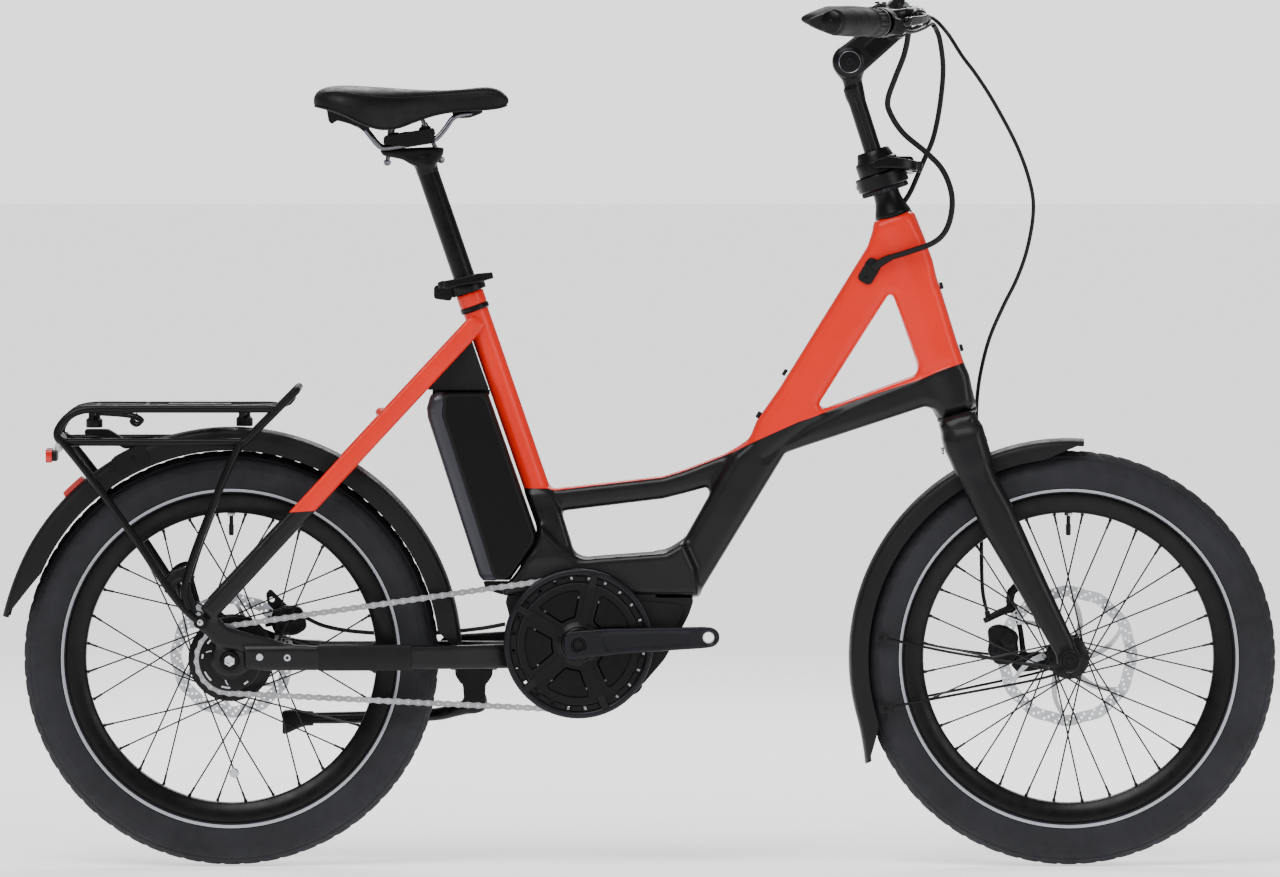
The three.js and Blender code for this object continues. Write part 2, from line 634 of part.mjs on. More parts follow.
// ---- stem, post and handlebar -----------------------------------------------------------------------
function stem() {
  const foot = steerPoint(HEAD_TOP + 3);
  const profile = [
    [STEERER_RADIUS + 0.4, 0], [23, 0], [20, 12], [17, 24], [17, 30], [31, 31], [33, 36], [33, 52],
    [27, 54], [27, 74], [22, 86], [12, 86], [12, 31], [STEERER_RADIUS + 0.4, 29.6],
  ];
  const collar = turned(profile, foot, STEER, 20);
  const lug = plate([[325, 876], [346, 882], [346, 893], [325, 896]], -9, 9);
  const bore = rod(steerPoint(HEAD_TOP + 20), steerPoint(COLLAR_TOP + 20), 12, 20);
  add("stem_collar", cut(join(collar, cut(lug, bore)), bore,
    rod(steerPoint(200), steerPoint(STEERER_TOP + 0.6), STEERER_RADIUS + 0.4, 20)), SATIN_BLACK);
  add("collar_lever", wire([[352, -12, 890], [349, -30, 892], [322, -38, 896], [296, -38, 892]], 5),
    SATIN_BLACK);

  add("stem_guide_tube", rod(steerPoint(110), steerPoint(POST_FOOT - GAP), POST_RADIUS, 20), STEEL);

  const [px, pz] = STEM_PIVOT;
  const post = join(
    rod(steerPoint(POST_FOOT), steerPoint(440), POST_RADIUS, 20),
    rod(steerPoint(430), [px, 0, pz], POST_RADIUS - 0.5, 12, 9.6),
    rod([px, -10, pz], [px, 10, pz], 22, 24),
  );
  add("stem_post", post, SATIN_BLACK);

  const [bx, bz] = BAR_CENTRE;
  const cheek = [
    ...arc(STEM_PIVOT, 22, 130, 310, 9),
    ...arc(BAR_CENTRE, 19, -50, 130, 9),
  ];
  const postRoom = rod([px, -10.4, pz], [px, 10.4, pz], 25, 24);
  const arm = cut(plate(cheek, -17, 17), postRoom);
  const barSide = [];
  for (let i = -12; i <= 12; i++) {
    const y = (BAR_HALF_LENGTH * i) / 12;
    const swept = Math.max(0, (Math.abs(y) - 40) / (BAR_HALF_LENGTH - 40)) ** 1.5;
    barSide.push([bx - BAR_BACKSWEEP * swept, y, bz + 2 * swept]);
  }
  const bar = bent(barSide, BAR_RADIUS, BAR_RADIUS, 8, 18);
  const clampRing = rod([bx, -24, bz], [bx, 24, bz], 20, 14);
  const levers = [-1, 1].map((side) =>
    join(
      rod([304, side * 138, bz], [302, side * 156, bz], 16, 12),
      block([306, Math.min(side * 132, side * 162), 1072], [340, Math.max(side * 132, side * 162), 1092]),
    ),
  );
  const display = join(
    block([333, -30, 1096], [341, 30, 1126]),
    block([326, -8, 1080], [340, 8, 1110]),
  );
  add("handlebar", cut(join(arm, clampRing, bar, ...levers, display), postRoom), SATIN_BLACK);

  for (const [side, label] of [[-1, "right"], [1, "left"]]) {
    const axisAt = (y) => {
      const swept = ((y - 40) / (BAR_HALF_LENGTH - 40)) ** 1.5;
      return [bx - BAR_BACKSWEEP * swept, side * y, bz + 2 * swept];
    };
    const barRoom = bent(barSide, BAR_RADIUS + 0.5, BAR_RADIUS + 0.5, 8, 18);
    const grip = cut(
      bent([axisAt(198), axisAt(240), axisAt(280), axisAt(309)], 17, 16, 10, 5),
      barRoom,
    );
    add("grip_" + label, grip, RUBBER);
    if (side < 0) {
      const turningRoom = rod(axisAt(150), axisAt(212), BAR_RADIUS + 2.2, 24);
      const drum = cut(rod(axisAt(165), axisAt(196), 17, 20), turningRoom);
      add("twist_shifter", drum, PLASTIC);
    }
    const blade = wire(
      [[349, 150, 1082], [356, 178, 1080], [352, 205, 1078], [334, 245, 1076]].map(
        ([x, y, z]) => [x, side * y, z],
      ),
      4.5,
    );
    add("brake_lever_" + label, blade, SATIN_BLACK);
  }
}

// ---- cables -------------------------------------------------------------------------------------------
function cables() {
  const brakeHose = [
    [350, 22, 1084], [378, 22, 1078], [400, 20, 1049], [428, 18, 1006], [451, 18, 970],
    [480, 18, 915], [497, 18, 866], [500.5, 20, 830], [493, 22, 785], [480, 24, 747],
    [462, 30, 710], [445, 40, 669], [434, 62, 622], [428, 80, 560], [432, 83, 500],
    [432, 80, 440], [430, 66, 400], [430, 52, 350], [443, 47, 322],
  ];
  add("front_brake_hose", bent(brakeHose, 2.5, 2.5, 6, 34), PLASTIC);
  const frameLoom = [
    [344, -31, 1066], [335, -22, 1030], [324, -18, 1003], [314.8, -16, 976], [317.4, -16, 958.6],
    [334, -18, 933], [364, -22, 907.6], [384, -26, 886], [395, -30, 858], [395, -34, 831],
    [387, -37, 808], [372, -38, 794], [338, -34, 782], [306, -32, 771],
  ];
  add("frame_loom", bent(frameLoom, 4, 4, 6, 28), PLASTIC);
  const collarLoom = [
    [376, -20, 1068], [381, -16, 1049], [385, -8, 1013], [381, 0, 967], [373, 4, 927],
    [362, 6, 893], [349, 6, 866], [337, 6, 850],
  ];
  add("collar_loom", bent(collarLoom, 3.5, 3.5, 6, 18), PLASTIC);
}

mainFrame();
rearTriangle(-1, "right");
rearTriangle(1, "left");
rearAxle();
wheel("rear", REAR_AXLE, 54.2, 28, 7);
wheel("front", FRONT_AXLE, 26.2, 26, 7);
hubs();
rotor("front", FRONT_AXLE, FRONT_ROTOR_RADIUS, 43, 18);
rotor("rear", REAR_AXLE, REAR_ROTOR_RADIUS, 54, 18);
fork();
calipers();
mudguards();
rack();
drivetrain();
batteryAndStand();
seat();
stem();
cables();

export default bike;
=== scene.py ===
import math
import random

import bmesh
import bpy
import numpy as np
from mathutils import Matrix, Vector
from mathutils.geometry import tessellate_polygon


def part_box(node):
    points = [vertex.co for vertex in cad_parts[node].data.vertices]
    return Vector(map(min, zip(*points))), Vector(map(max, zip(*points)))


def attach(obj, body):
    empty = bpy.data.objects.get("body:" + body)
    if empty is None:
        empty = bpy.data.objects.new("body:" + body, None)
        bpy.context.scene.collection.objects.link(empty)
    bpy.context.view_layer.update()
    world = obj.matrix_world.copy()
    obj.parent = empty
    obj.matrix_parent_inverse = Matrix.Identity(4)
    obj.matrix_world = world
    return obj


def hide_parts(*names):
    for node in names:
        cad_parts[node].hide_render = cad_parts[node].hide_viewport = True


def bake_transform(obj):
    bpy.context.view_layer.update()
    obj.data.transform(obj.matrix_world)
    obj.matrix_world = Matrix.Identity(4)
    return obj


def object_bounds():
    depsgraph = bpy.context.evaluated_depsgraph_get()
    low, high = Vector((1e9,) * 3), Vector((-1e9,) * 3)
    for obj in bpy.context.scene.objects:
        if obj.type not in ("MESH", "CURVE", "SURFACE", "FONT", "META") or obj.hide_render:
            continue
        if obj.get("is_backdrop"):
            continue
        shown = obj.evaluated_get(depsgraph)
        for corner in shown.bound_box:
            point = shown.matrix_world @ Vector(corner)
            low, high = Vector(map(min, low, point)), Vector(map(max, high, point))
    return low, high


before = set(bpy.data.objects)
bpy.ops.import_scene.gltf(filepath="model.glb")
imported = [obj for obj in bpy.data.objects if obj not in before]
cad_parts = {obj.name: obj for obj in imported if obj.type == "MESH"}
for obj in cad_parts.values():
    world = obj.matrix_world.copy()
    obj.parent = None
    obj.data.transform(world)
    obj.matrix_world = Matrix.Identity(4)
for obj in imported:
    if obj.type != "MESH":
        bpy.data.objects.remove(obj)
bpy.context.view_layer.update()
RANDOM_SEED = 7
random.seed(RANDOM_SEED)
MM = 0.001  # metres in a millimetre
ACROSS = (0, 1, 0)  # from the right side of the bicycle to its left side

# ---- camera ----------------------------------------------------------------------------------
LENS = 376.14
CAMERA_PLACE = (0, -17.0, 1.2)
CAMERA_TARGET = (0, 0, 0.544)
camera_data = bpy.data.cameras.new("camera")
camera_data.lens = LENS
camera_data.sensor_width = 36
camera = bpy.data.objects.new("camera", camera_data)
bpy.context.scene.collection.objects.link(camera)
camera.location = CAMERA_PLACE
camera.rotation_euler = (Vector(CAMERA_TARGET) - camera.location).to_track_quat("-Z", "Y").to_euler()
bpy.context.scene.camera = camera


# ---- materials -------------------------------------------------------------------------------
def linear(rgb):
    return [(c / 255 / 12.92) if c <= 10 else ((c / 255 + 0.055) / 1.055) ** 2.4 for c in rgb]


class Nodes:
    def __init__(self, name):
        self.material = bpy.data.materials.new(name)
        self.material.use_nodes = True
        self.tree = self.material.node_tree
        self.shader = self.tree.nodes["Principled BSDF"]
        self.where = self.add("ShaderNodeTexCoord").outputs["Object"]

    def add(self, kind, inputs=None, **settings):
        node = self.tree.nodes.new(kind)
        for key, value in settings.items():
            setattr(node, key, value)
        for key, value in (inputs or {}).items():
            if isinstance(value, bpy.types.NodeSocket):
                self.tree.links.new(value, node.inputs[key])
            else:
                node.inputs[key].default_value = value
        return node

    def noise(self, scale, detail=3.0, vector=None):
        node = self.add("ShaderNodeTexNoise", {"Scale": scale, "Detail": detail,
                                               "Vector": vector or self.where})
        return node.outputs["Fac"]

    def math(self, operation, *values):
        node = self.add("ShaderNodeMath", operation=operation)
        for i, value in enumerate(values):
            if isinstance(value, bpy.types.NodeSocket):
                self.tree.links.new(value, node.inputs[i])
            else:
                node.inputs[i].default_value = value
        return node.outputs[0]

    def mix(self, factor, a, b):
        node = self.add("ShaderNodeMix", data_type="RGBA")
        for key, value in ((0, factor), (6, a), (7, b)):
            if isinstance(value, bpy.types.NodeSocket):
                self.tree.links.new(value, node.inputs[key])
            else:
                node.inputs[key].default_value = value
        return node.outputs[2]

    def spread(self, value, low, high, to_low=0.0, to_high=1.0):
        node = self.add("ShaderNodeMapRange", {"Value": value, "From Min": low, "From Max": high,
                                               "To Min": to_low, "To Max": to_high})
        return node.outputs[0]

    def bump(self, height, strength, distance, after=None):
        inputs = {"Height": height, "Strength": strength, "Distance": distance}
        if after is not None:
            inputs["Normal"] = after
        return self.add("ShaderNodeBump", inputs).outputs["Normal"]

    def link(self, value, socket):
        self.tree.links.new(value, self.shader.inputs[socket])


def stretched(n, scale):
    return n.add("ShaderNodeVectorMath", {0: n.where, 1: scale}, operation="MULTIPLY").outputs[0]


# One finish: colour that varies a little, roughness that varies, fine grain and dust.
def finish(name, rgb, rough, metal=0.0, vary=0.12, grain=900.0, depth=0.00006, strength=0.35,
           coat=0.0, kind="noise", dust=0.03, sheen=0.0, shine=0.22):
    n = Nodes(name)
    base = [*linear(rgb), 1]
    dark = [c * (1 - vary) for c in base[:3]] + [1]
    light = [min(1.0, c * (1 + vary) + 0.0004) for c in base[:3]] + [1]
    broad = n.spread(n.noise(14.0, 4.0), 0.3, 0.7)
    colour = n.mix(broad, dark, light)
    dusty = [min(1.0, c * 0.9 + 0.012) for c in base[:3]] + [1]
    film = n.spread(n.noise(38.0, 6.0), 0.55, 0.85, 0.0, dust)
    n.link(n.mix(film, colour, dusty), "Base Color")
    fine = n.noise(grain, 2.0)
    if kind == "brushed":
        fine = n.noise(160.0, 5.0, stretched(n, (1.0, 14.0, 1.0)))
    if kind == "leather":
        cells = n.add("ShaderNodeTexVoronoi", {"Scale": grain, "Vector": n.where},
                      feature="DISTANCE_TO_EDGE")
        fine = n.spread(cells.outputs["Distance"], 0.0, 0.25)
    if kind == "braid":
        uv = n.add("ShaderNodeTexCoord").outputs["UV"]
        part = n.add("ShaderNodeSeparateXYZ", {0: uv})
        a = n.math("ADD", n.math("MULTIPLY", part.outputs[0], 50.3),
            n.math("MULTIPLY", part.outputs[1], 1500.0))
        b = n.math("SUBTRACT", n.math("MULTIPLY", part.outputs[0], 50.3),
            n.math("MULTIPLY", part.outputs[1], 1500.0))
        fine = n.math("MAXIMUM", n.math("SINE", a), n.math("SINE", b))
    if kind == "prism":
        cells = n.add("ShaderNodeTexVoronoi", {"Scale": grain, "Vector": n.where}, distance="CHEBYCHEV")
        fine = cells.outputs["Distance"]
    varied = n.spread(n.noise(60.0, 4.0), 0.3, 0.7, max(0.03, rough - 0.07), min(1.0, rough + 0.08))
    n.link(varied, "Roughness")
    n.link(n.bump(fine, strength, depth), "Normal")
    n.shader.inputs["Metallic"].default_value = metal
    n.shader.inputs["Coat Weight"].default_value = coat
    n.shader.inputs["Specular IOR Level"].default_value = shine
    n.shader.inputs["Coat Roughness"].default_value = 0.12
    n.shader.inputs["Sheen Weight"].default_value = sheen
    return n


def mat(*args, **settings):
    return finish(*args, **settings).material


ORANGE_RGB = (216, 27, 3)
BLACK_RGB = (9, 9, 12)
orange = mat("orange_paint", ORANGE_RGB, 0.4, 0.0, vary=0.05, grain=420.0, strength=0.1, coat=0.12)
black_paint = mat("black_paint", BLACK_RGB, 0.42, 0.0, vary=0.2, grain=600.0, strength=0.15, coat=0.05)
black_metal = mat("anodised_black", (9, 9, 11), 0.34, 0.2, vary=0.2, grain=1400.0, strength=0.15)
grey_metal = mat("anodised_grey", (26, 26, 30), 0.36, 0.4, vary=0.15, grain=1400.0, strength=0.18)
plastic = mat("moulded_plastic", (10, 10, 12), 0.5, 0.0, vary=0.15, grain=1100.0, strength=0.4)
gloss = mat("gloss_black", (3, 3, 4), 0.26, 0.0, vary=0.15, grain=300.0, strength=0.03, dust=0.01,
    shine=0.16)
rubber = mat("tyre_rubber", (33, 33, 37), 0.76, 0.0, vary=0.16, grain=700.0, strength=0.4, dust=0.12)
grip_rubber = mat("grip_rubber", (13, 13, 15), 0.66, 0.0, vary=0.14, grain=1500.0, strength=0.5)
leather = mat("saddle_cover", (5, 5, 7), 0.5, 0.0, vary=0.15, grain=520.0, depth=0.00016, strength=0.35,
              kind="leather")
rail_steel = mat("dark_chrome", (96, 97, 102), 0.2, 1.0, vary=0.08, kind="brushed", strength=0.15)
steel = mat("brushed_steel", (196, 198, 203), 0.28, 1.0, vary=0.08, kind="brushed", strength=0.2)
chain_steel = mat("chain_steel", (160, 160, 163), 0.32, 1.0, vary=0.2, kind="brushed", strength=0.2,
    dust=0.2)
bright = mat("bolt_steel", (200, 203, 208), 0.24, 1.0, vary=0.06, grain=800.0, strength=0.15)
band_grey = mat("satin_alloy", (62, 62, 67), 0.36, 0.6, vary=0.08, kind="brushed", strength=0.22)
stripe_grey = mat("reflective_band", (176, 178, 184), 0.4, 0.0, vary=0.05, grain=2400.0, strength=0.4)
red_lens = mat("red_lens", (190, 12, 8), 0.14, 0.0, vary=0.1, grain=330.0, depth=0.0008, strength=0.5,
               coat=0.7, kind="prism", dust=0.02)
braid = mat("braided_sleeve", (14, 14, 16), 0.6, 0.0, vary=0.15, kind="braid", depth=0.0003,
    strength=0.8)
hose_black = mat("hose_black", (9, 9, 11), 0.4, 0.0, vary=0.12, grain=1300.0, strength=0.2)
thread = mat("stitching", (38, 38, 42), 0.7, 0.0, grain=2500.0, strength=0.6)
glass = mat("display_glass", (6, 7, 9), 0.06, 0.0, grain=200.0, strength=0.02, coat=1.0, dust=0.02)
tick_paint = mat("scale_mark", (215, 215, 215), 0.5, 0.0, grain=1200.0, strength=0.2)

# Orange above a border that runs along the frame, black below it.
n = finish("two_tone_paint", ORANGE_RGB, 0.4, 0.0, vary=0.05, grain=420.0, strength=0.1, coat=0.12)
painted = n.shader.inputs["Base Color"].links[0].from_socket
split = n.add("ShaderNodeSeparateXYZ", {0: n.where})
curve = n.add("ShaderNodeFloatCurve")
border = [(-600, 453), (-443, 453), (-410, 455), (-386, 481), (-200, 482), (-115, 481), (-111, 478),
    (-23, 488.5), (29, 494.5), (55, 502.5), (101, 520), (122, 529), (143, 540), (172, 553), (201, 566),
    (219, 572), (269, 592), (315, 607), (356, 620), (383, 632), (410, 641), (430, 648)]
along = n.spread(split.outputs[0], -0.6, 0.43)
n.tree.links.new(along, curve.inputs["Value"])
points = curve.mapping.curves[0].points
scaled = [((x + 600) / 1030, (z - 440) / 220) for x, z in border]
points[0].location = scaled[0]
points[1].location = scaled[-1]
for x, z in scaled[1:-1]:
    points.new(x, z)
for point in points:
    point.handle_type = "VECTOR"
curve.mapping.update()
edge = n.math("ADD", n.math("MULTIPLY", curve.outputs[0], 0.22), 0.44)
above = n.spread(n.math("SUBTRACT", split.outputs[2], edge), -0.0003, 0.0003)
black_noise = n.mix(n.noise(30.0, 4.0), [*linear((8, 8, 10)), 1], [*linear((13, 13, 16)), 1])
n.link(n.mix(above, black_noise, painted), "Base Color")
two_tone = n.material


# ---- shapes: each is (vertices in mm, faces) -------------------------------------------------
def merge(*shapes):
    verts, faces, base = [], [], 0
    for v, f in shapes:
        verts.append(np.asarray(v, float).reshape(-1, 3))
        faces += [tuple(i + base for i in face) for face in f]
        base += len(v)
    return np.concatenate(verts), faces


def skin(rows, closed=True, caps=True, ring=False):
    rows = np.asarray(rows, float)
    count, sides = rows.shape[:2]
    faces = []
    for i in range(count if ring else count - 1):
        j = (i + 1) % count
        for k in range(sides if closed else sides - 1):
            m = (k + 1) % sides
            faces.append((i * sides + k, i * sides + m, j * sides + m, j * sides + k))
    if caps and not ring:
        faces += [tuple(range(sides))[::-1], tuple((count - 1) * sides + k for k in range(sides))]
    return rows.reshape(-1, 3), faces


def circle(radius, sides, squeeze=1.0):
    angles = np.arange(sides) * 2 * math.pi / sides
    return np.stack([radius * np.cos(angles), radius * squeeze * np.sin(angles)], 1)


def smooth(points, steps):
    p = np.asarray(points, float)
    ends = np.concatenate([[2 * p[0] - p[1]], p, [2 * p[-1] - p[-2]]])
    out = []
    for i in range(len(p) - 1):
        a, b, c, d = ends[i:i + 4]
        for t in np.arange(steps) / steps:
            out.append(0.5 * (2 * b + (c - a) * t + (2 * a - 5 * b + 4 * c - d) * t * t
                              + (3 * b - a - 3 * c + d) * t ** 3))
    out.append(p[-1])
    return np.array(out)


def unit(v):
    v = np.asarray(v, float)
    return v / max(1e-9, np.linalg.norm(v))


# A section swept along a path; the section's first axis stays as close to first as it can.
def sweep(path, section, first=ACROSS, scale=None, caps=True, ring=False):
    path = np.asarray(path, float)
    rows, side = [], np.asarray(first, float)
    for i, p in enumerate(path):
        if ring:
            tangent = unit(path[(i + 1) % len(path)] - path[i - 1])
        else:
            tangent = unit(path[min(i + 1, len(path) - 1)] - path[max(i - 1, 0)])
        side = unit(side - tangent * np.dot(side, tangent))
        other = np.cross(tangent, side)
        s = (1.0, 1.0) if scale is None else np.broadcast_to(scale[i], 2)
        rows.append(p + np.outer(section[:, 0] * s[0], side) + np.outer(section[:, 1] * s[1], other))
    return skin(rows, True, caps, ring)


def tube(points, radius, sides=12, steps=6, scale=None):
    path = smooth(points, steps)
    if scale is not None:
        scale = np.interp(np.linspace(0, 1, len(path)), np.linspace(0, 1, len(scale)), scale)
    return sweep(path, circle(radius, sides), scale=scale)


def axes(direction, reference=None):
    w = unit(direction)
    u = unit(np.cross(w, reference if reference is not None else ((1, 0, 0) if abs(w[0]) < 0.9
        else ACROSS)))
    return u, np.cross(w, u), w


def lathe(profile, base, direction=ACROSS, sides=48, closed=False):
    u, v, w = axes(direction)
    rows = []
    for r, h in profile:
        ring = circle(max(r, 1e-4), sides)
        rows.append(np.asarray(base, float) + np.outer(ring[:, 0], u) + np.outer(ring[:, 1], v) + w * h)
    return skin(rows, True, not closed, closed)


def rod(a, b, radius, sides=24, edge=0.0, end_radius=None):
    a, b = np.asarray(a, float), np.asarray(b, float)
    length = np.linalg.norm(b - a)
    r2 = radius if end_radius is None else end_radius
    profile = [(radius, 0), (r2, length)]
    if edge:
        e = edge * 0.3
        profile = [(radius - edge, 0), (radius - e, e), (radius, edge), (r2, length - edge),
                   (r2 - e, length - e), (r2 - edge, length)]
    return lathe(profile, a, b - a, sides)


# A flat plate from an outline and holes given in two axes, spread along the third.
def plate(outline, low, high, holes=(), origin=(0, 0, 0), x=(1, 0, 0), z=(0, 0, 1)):
    x, z = np.asarray(x, float), np.asarray(z, float)
    y = np.cross(z, x)
    loops = [list(map(tuple, outline)), *[list(map(tuple, h)) for h in holes]]
    flat = [p for loop in loops for p in loop]
    cap = tessellate_polygon([[Vector((a, b, 0)) for a, b in loop] for loop in loops])
    count = len(flat)
    flat = np.array(flat, float)
    plane = np.asarray(origin, float) + np.outer(flat[:, 0], x) + np.outer(flat[:, 1], z)
    verts = np.concatenate([plane + y * low, plane + y * high])
    faces = [tuple(t) for t in cap] + [tuple(i + count for i in t[::-1]) for t in cap]
    base = 0
    for loop in loops:
        for i in range(len(loop)):
            j = (i + 1) % len(loop)
            faces.append((base + i, base + j, base + j + count, base + i + count))
        base += len(loop)
    return verts, faces


def arc(centre, radius, start, end, steps):
    angles = np.radians(np.linspace(start, end, steps + 1))
    return [(centre[0] + radius * math.cos(a), centre[1] + radius * math.sin(a)) for a in angles]


def disc(centre, radius, sides=16):
    return arc(centre, radius, 0, 360 * (sides - 1) / sides, sides - 1)


# An outline with its corners rounded off.
def rounded(outline, radius, steps=4):
    p = [np.asarray(q, float) for q in outline]
    out = []
    for i, corner in enumerate(p):
        before, after = p[i - 1] - corner, p[(i + 1) % len(p)] - corner
        r = min(radius, np.linalg.norm(before) * 0.45, np.linalg.norm(after) * 0.45)
        a, b = corner + unit(before) * r, corner + unit(after) * r
        for t in np.linspace(0, 1, steps + 1):
            out.append(tuple((1 - t) ** 2 * a + 2 * t * (1 - t) * corner + t * t * b))
    return out


def mirror(shape):
    verts, faces = shape
    return np.asarray(verts, float) * (1, -1, 1), [f[::-1] for f in faces]


def both(shape):
    return merge(shape, mirror(shape))


# Solids as distances on a grid, so that tubes run into each other with soft fillets.
class Field:
    def __init__(self, low, high, step):
        self.low, self.step = np.asarray(low, float), step
        counts = [int((h - l) / step) + 2 for l, h in zip(low, high)]
        grid = [(l + step * np.arange(c)).astype(np.float32) for l, c in zip(low, counts)]
        self.x, self.y, self.z = (g.reshape(s) for g, s in zip(grid,
            ((-1, 1, 1), (1, -1, 1), (1, 1, -1))))
        self.d = np.full(counts, 60.0, np.float32)

    def flat(self, outline, a=None, b=None):
        a, b = (self.x, self.z) if a is None else (a, b)
        best, inside = None, None
        for (px, pz), (qx, qz) in zip(outline, [*outline[1:], outline[0]]):
            ex, ez = qx - px, qz - pz
            wx, wz = a - px, b - pz
            t = np.clip((wx * ex + wz * ez) / max(1e-9, ex * ex + ez * ez), 0, 1)
            dist = (wx - ex * t) ** 2 + (wz - ez * t) ** 2
            best = dist if best is None else np.minimum(best, dist)
            crosses = ((pz > b) != (qz > b)) & (a < ex * (b - pz) / (ez if ez else 1e-9) + px)
            inside = crosses if inside is None else inside ^ crosses
        return np.sqrt(best) * np.where(inside, -1, 1)

    def slab(self, outline, half, radius, holes=(), middle=0.0):
        d = self.flat(outline)
        for hole in holes:
            d = np.maximum(d, -self.flat(hole))
        w = np.abs(self.y - middle) - half
        u, v = d + radius, w + radius
        return np.sqrt(np.maximum(u, 0) ** 2 + np.maximum(v, 0) ** 2) + np.minimum(np.maximum(u, v),
            0) - radius

    def tube(self, points, radii, flatten=1.0):
        best = None
        for (p, q), (r0, r1) in zip(zip(points, points[1:]), zip(radii, radii[1:])):
            e = np.asarray(q, float) - p
            e[1] *= flatten
            wx, wy, wz = self.x - p[0], (self.y - p[1]) * flatten, self.z - p[2]
            t = np.clip((wx * e[0] + wy * e[1] + wz * e[2]) / (e @ e), 0, 1)
            d = np.sqrt((wx - e[0] * t) ** 2 + (wy - e[1] * t) ** 2 + (wz - e[2] * t) ** 2) - (r0
                + (r1 - r0) * t)
            best = d if best is None else np.minimum(best, d)
        return best

    def cylinder(self, a, b, radius, edge=1.0):
        a, b = np.asarray(a, float), np.asarray(b, float)
        w = unit(b - a)
        px, py, pz = self.x - a[0], self.y - a[1], self.z - a[2]
        h = px * w[0] + py * w[1] + pz * w[2]
        r = np.sqrt(np.maximum(px * px + py * py + pz * pz - h * h, 0)) - radius
        length = np.linalg.norm(b - a)
        v = np.abs(h - length / 2) - length / 2
        u, v = r + edge, v + edge
        return np.sqrt(np.maximum(u, 0) ** 2 + np.maximum(v, 0) ** 2) + np.minimum(np.maximum(u, v),
            0) - edge

    def add(self, d, soft=0.0):
        if soft:
            h = np.maximum(soft - np.abs(self.d - d), 0) / soft
            self.d = (np.minimum(self.d, d) - h * h * soft * 0.25).astype(np.float32)
        else:
            self.d = np.minimum(self.d, d).astype(np.float32)

    def cut(self, d, soft=0.0):
        if soft:
            h = np.maximum(soft - np.abs(self.d + d), 0) / soft
            self.d = (np.maximum(self.d, -d) + h * h * soft * 0.25).astype(np.float32)
        else:
            self.d = np.maximum(self.d, -d).astype(np.float32)

    def shape(self):
        d = self.d
        inside = d < 0
        corners = [(i, j, k) for i in (0, 1) for j in (0, 1) for k in (0, 1)]
        n = [s - 1 for s in d.shape]
        view = {c: (slice(c[0], c[0] + n[0]), slice(c[1], c[1] + n[1]), slice(c[2], c[2] + n[2]))
            for c in corners}
        total = sum(inside[view[c]].astype(np.uint8) for c in corners)
        cells = np.nonzero((total > 0) & (total < 8))
        index = np.full(n, -1, np.int64)
        index[cells] = np.arange(len(cells[0]))
        value = {c: d[view[c]][cells] for c in corners}
        place, hits = np.zeros((len(cells[0]), 3)), np.zeros(len(cells[0]))
        for c in corners:
            for axis in range(3):
                if c[axis]:
                    continue
                e = tuple(1 if a == axis else c[a] for a in range(3))
                da, db = value[c], value[e]
                cross = (da < 0) != (db < 0)
                t = np.where(cross, da / np.where(cross, da - db, 1), 0)
                for a in range(3):
                    place[:, a] += np.where(cross, c[a] + (t if a == axis else 0), 0)
                hits += cross
        verts = self.low + self.step * (np.stack(cells, 1) + place / hits[:, None])
        faces = []
        for axis in range(3):
            one, two = [a for a in range(3) if a != axis]
            head = [slice(None)] * 3
            tail = [slice(None)] * 3
            head[axis], tail[axis] = slice(0, -1), slice(1, None)
            first, second = inside[tuple(head)], inside[tuple(tail)]
            at = np.stack(np.nonzero(first != second), 1)
            at = at[(at[:, one] > 0) & (at[:, two] > 0) & (at[:, one] < n[one]) & (at[:, two] < n[two])]
            flip = first[tuple(at.T)]
            quad = []
            for da, db in ((1, 1), (0, 1), (0, 0), (1, 0)):
                c = at.copy()
                c[:, one] -= da
                c[:, two] -= db
                quad.append(index[tuple(c.T)])
            quad = np.stack(quad, 1)
            if axis == 1:
                flip = ~flip
            quad[flip] = quad[flip][:, ::-1]
            faces += [tuple(q) for q in quad.tolist()]
        return verts, faces


def on_circle(centre, radius, degrees):
    return arc(centre, radius, degrees, 0, 1)[0]


# The point y mm to the left of a centre that is given as (x, z).
def beside(centre, y):
    return centre[0], y, centre[1]


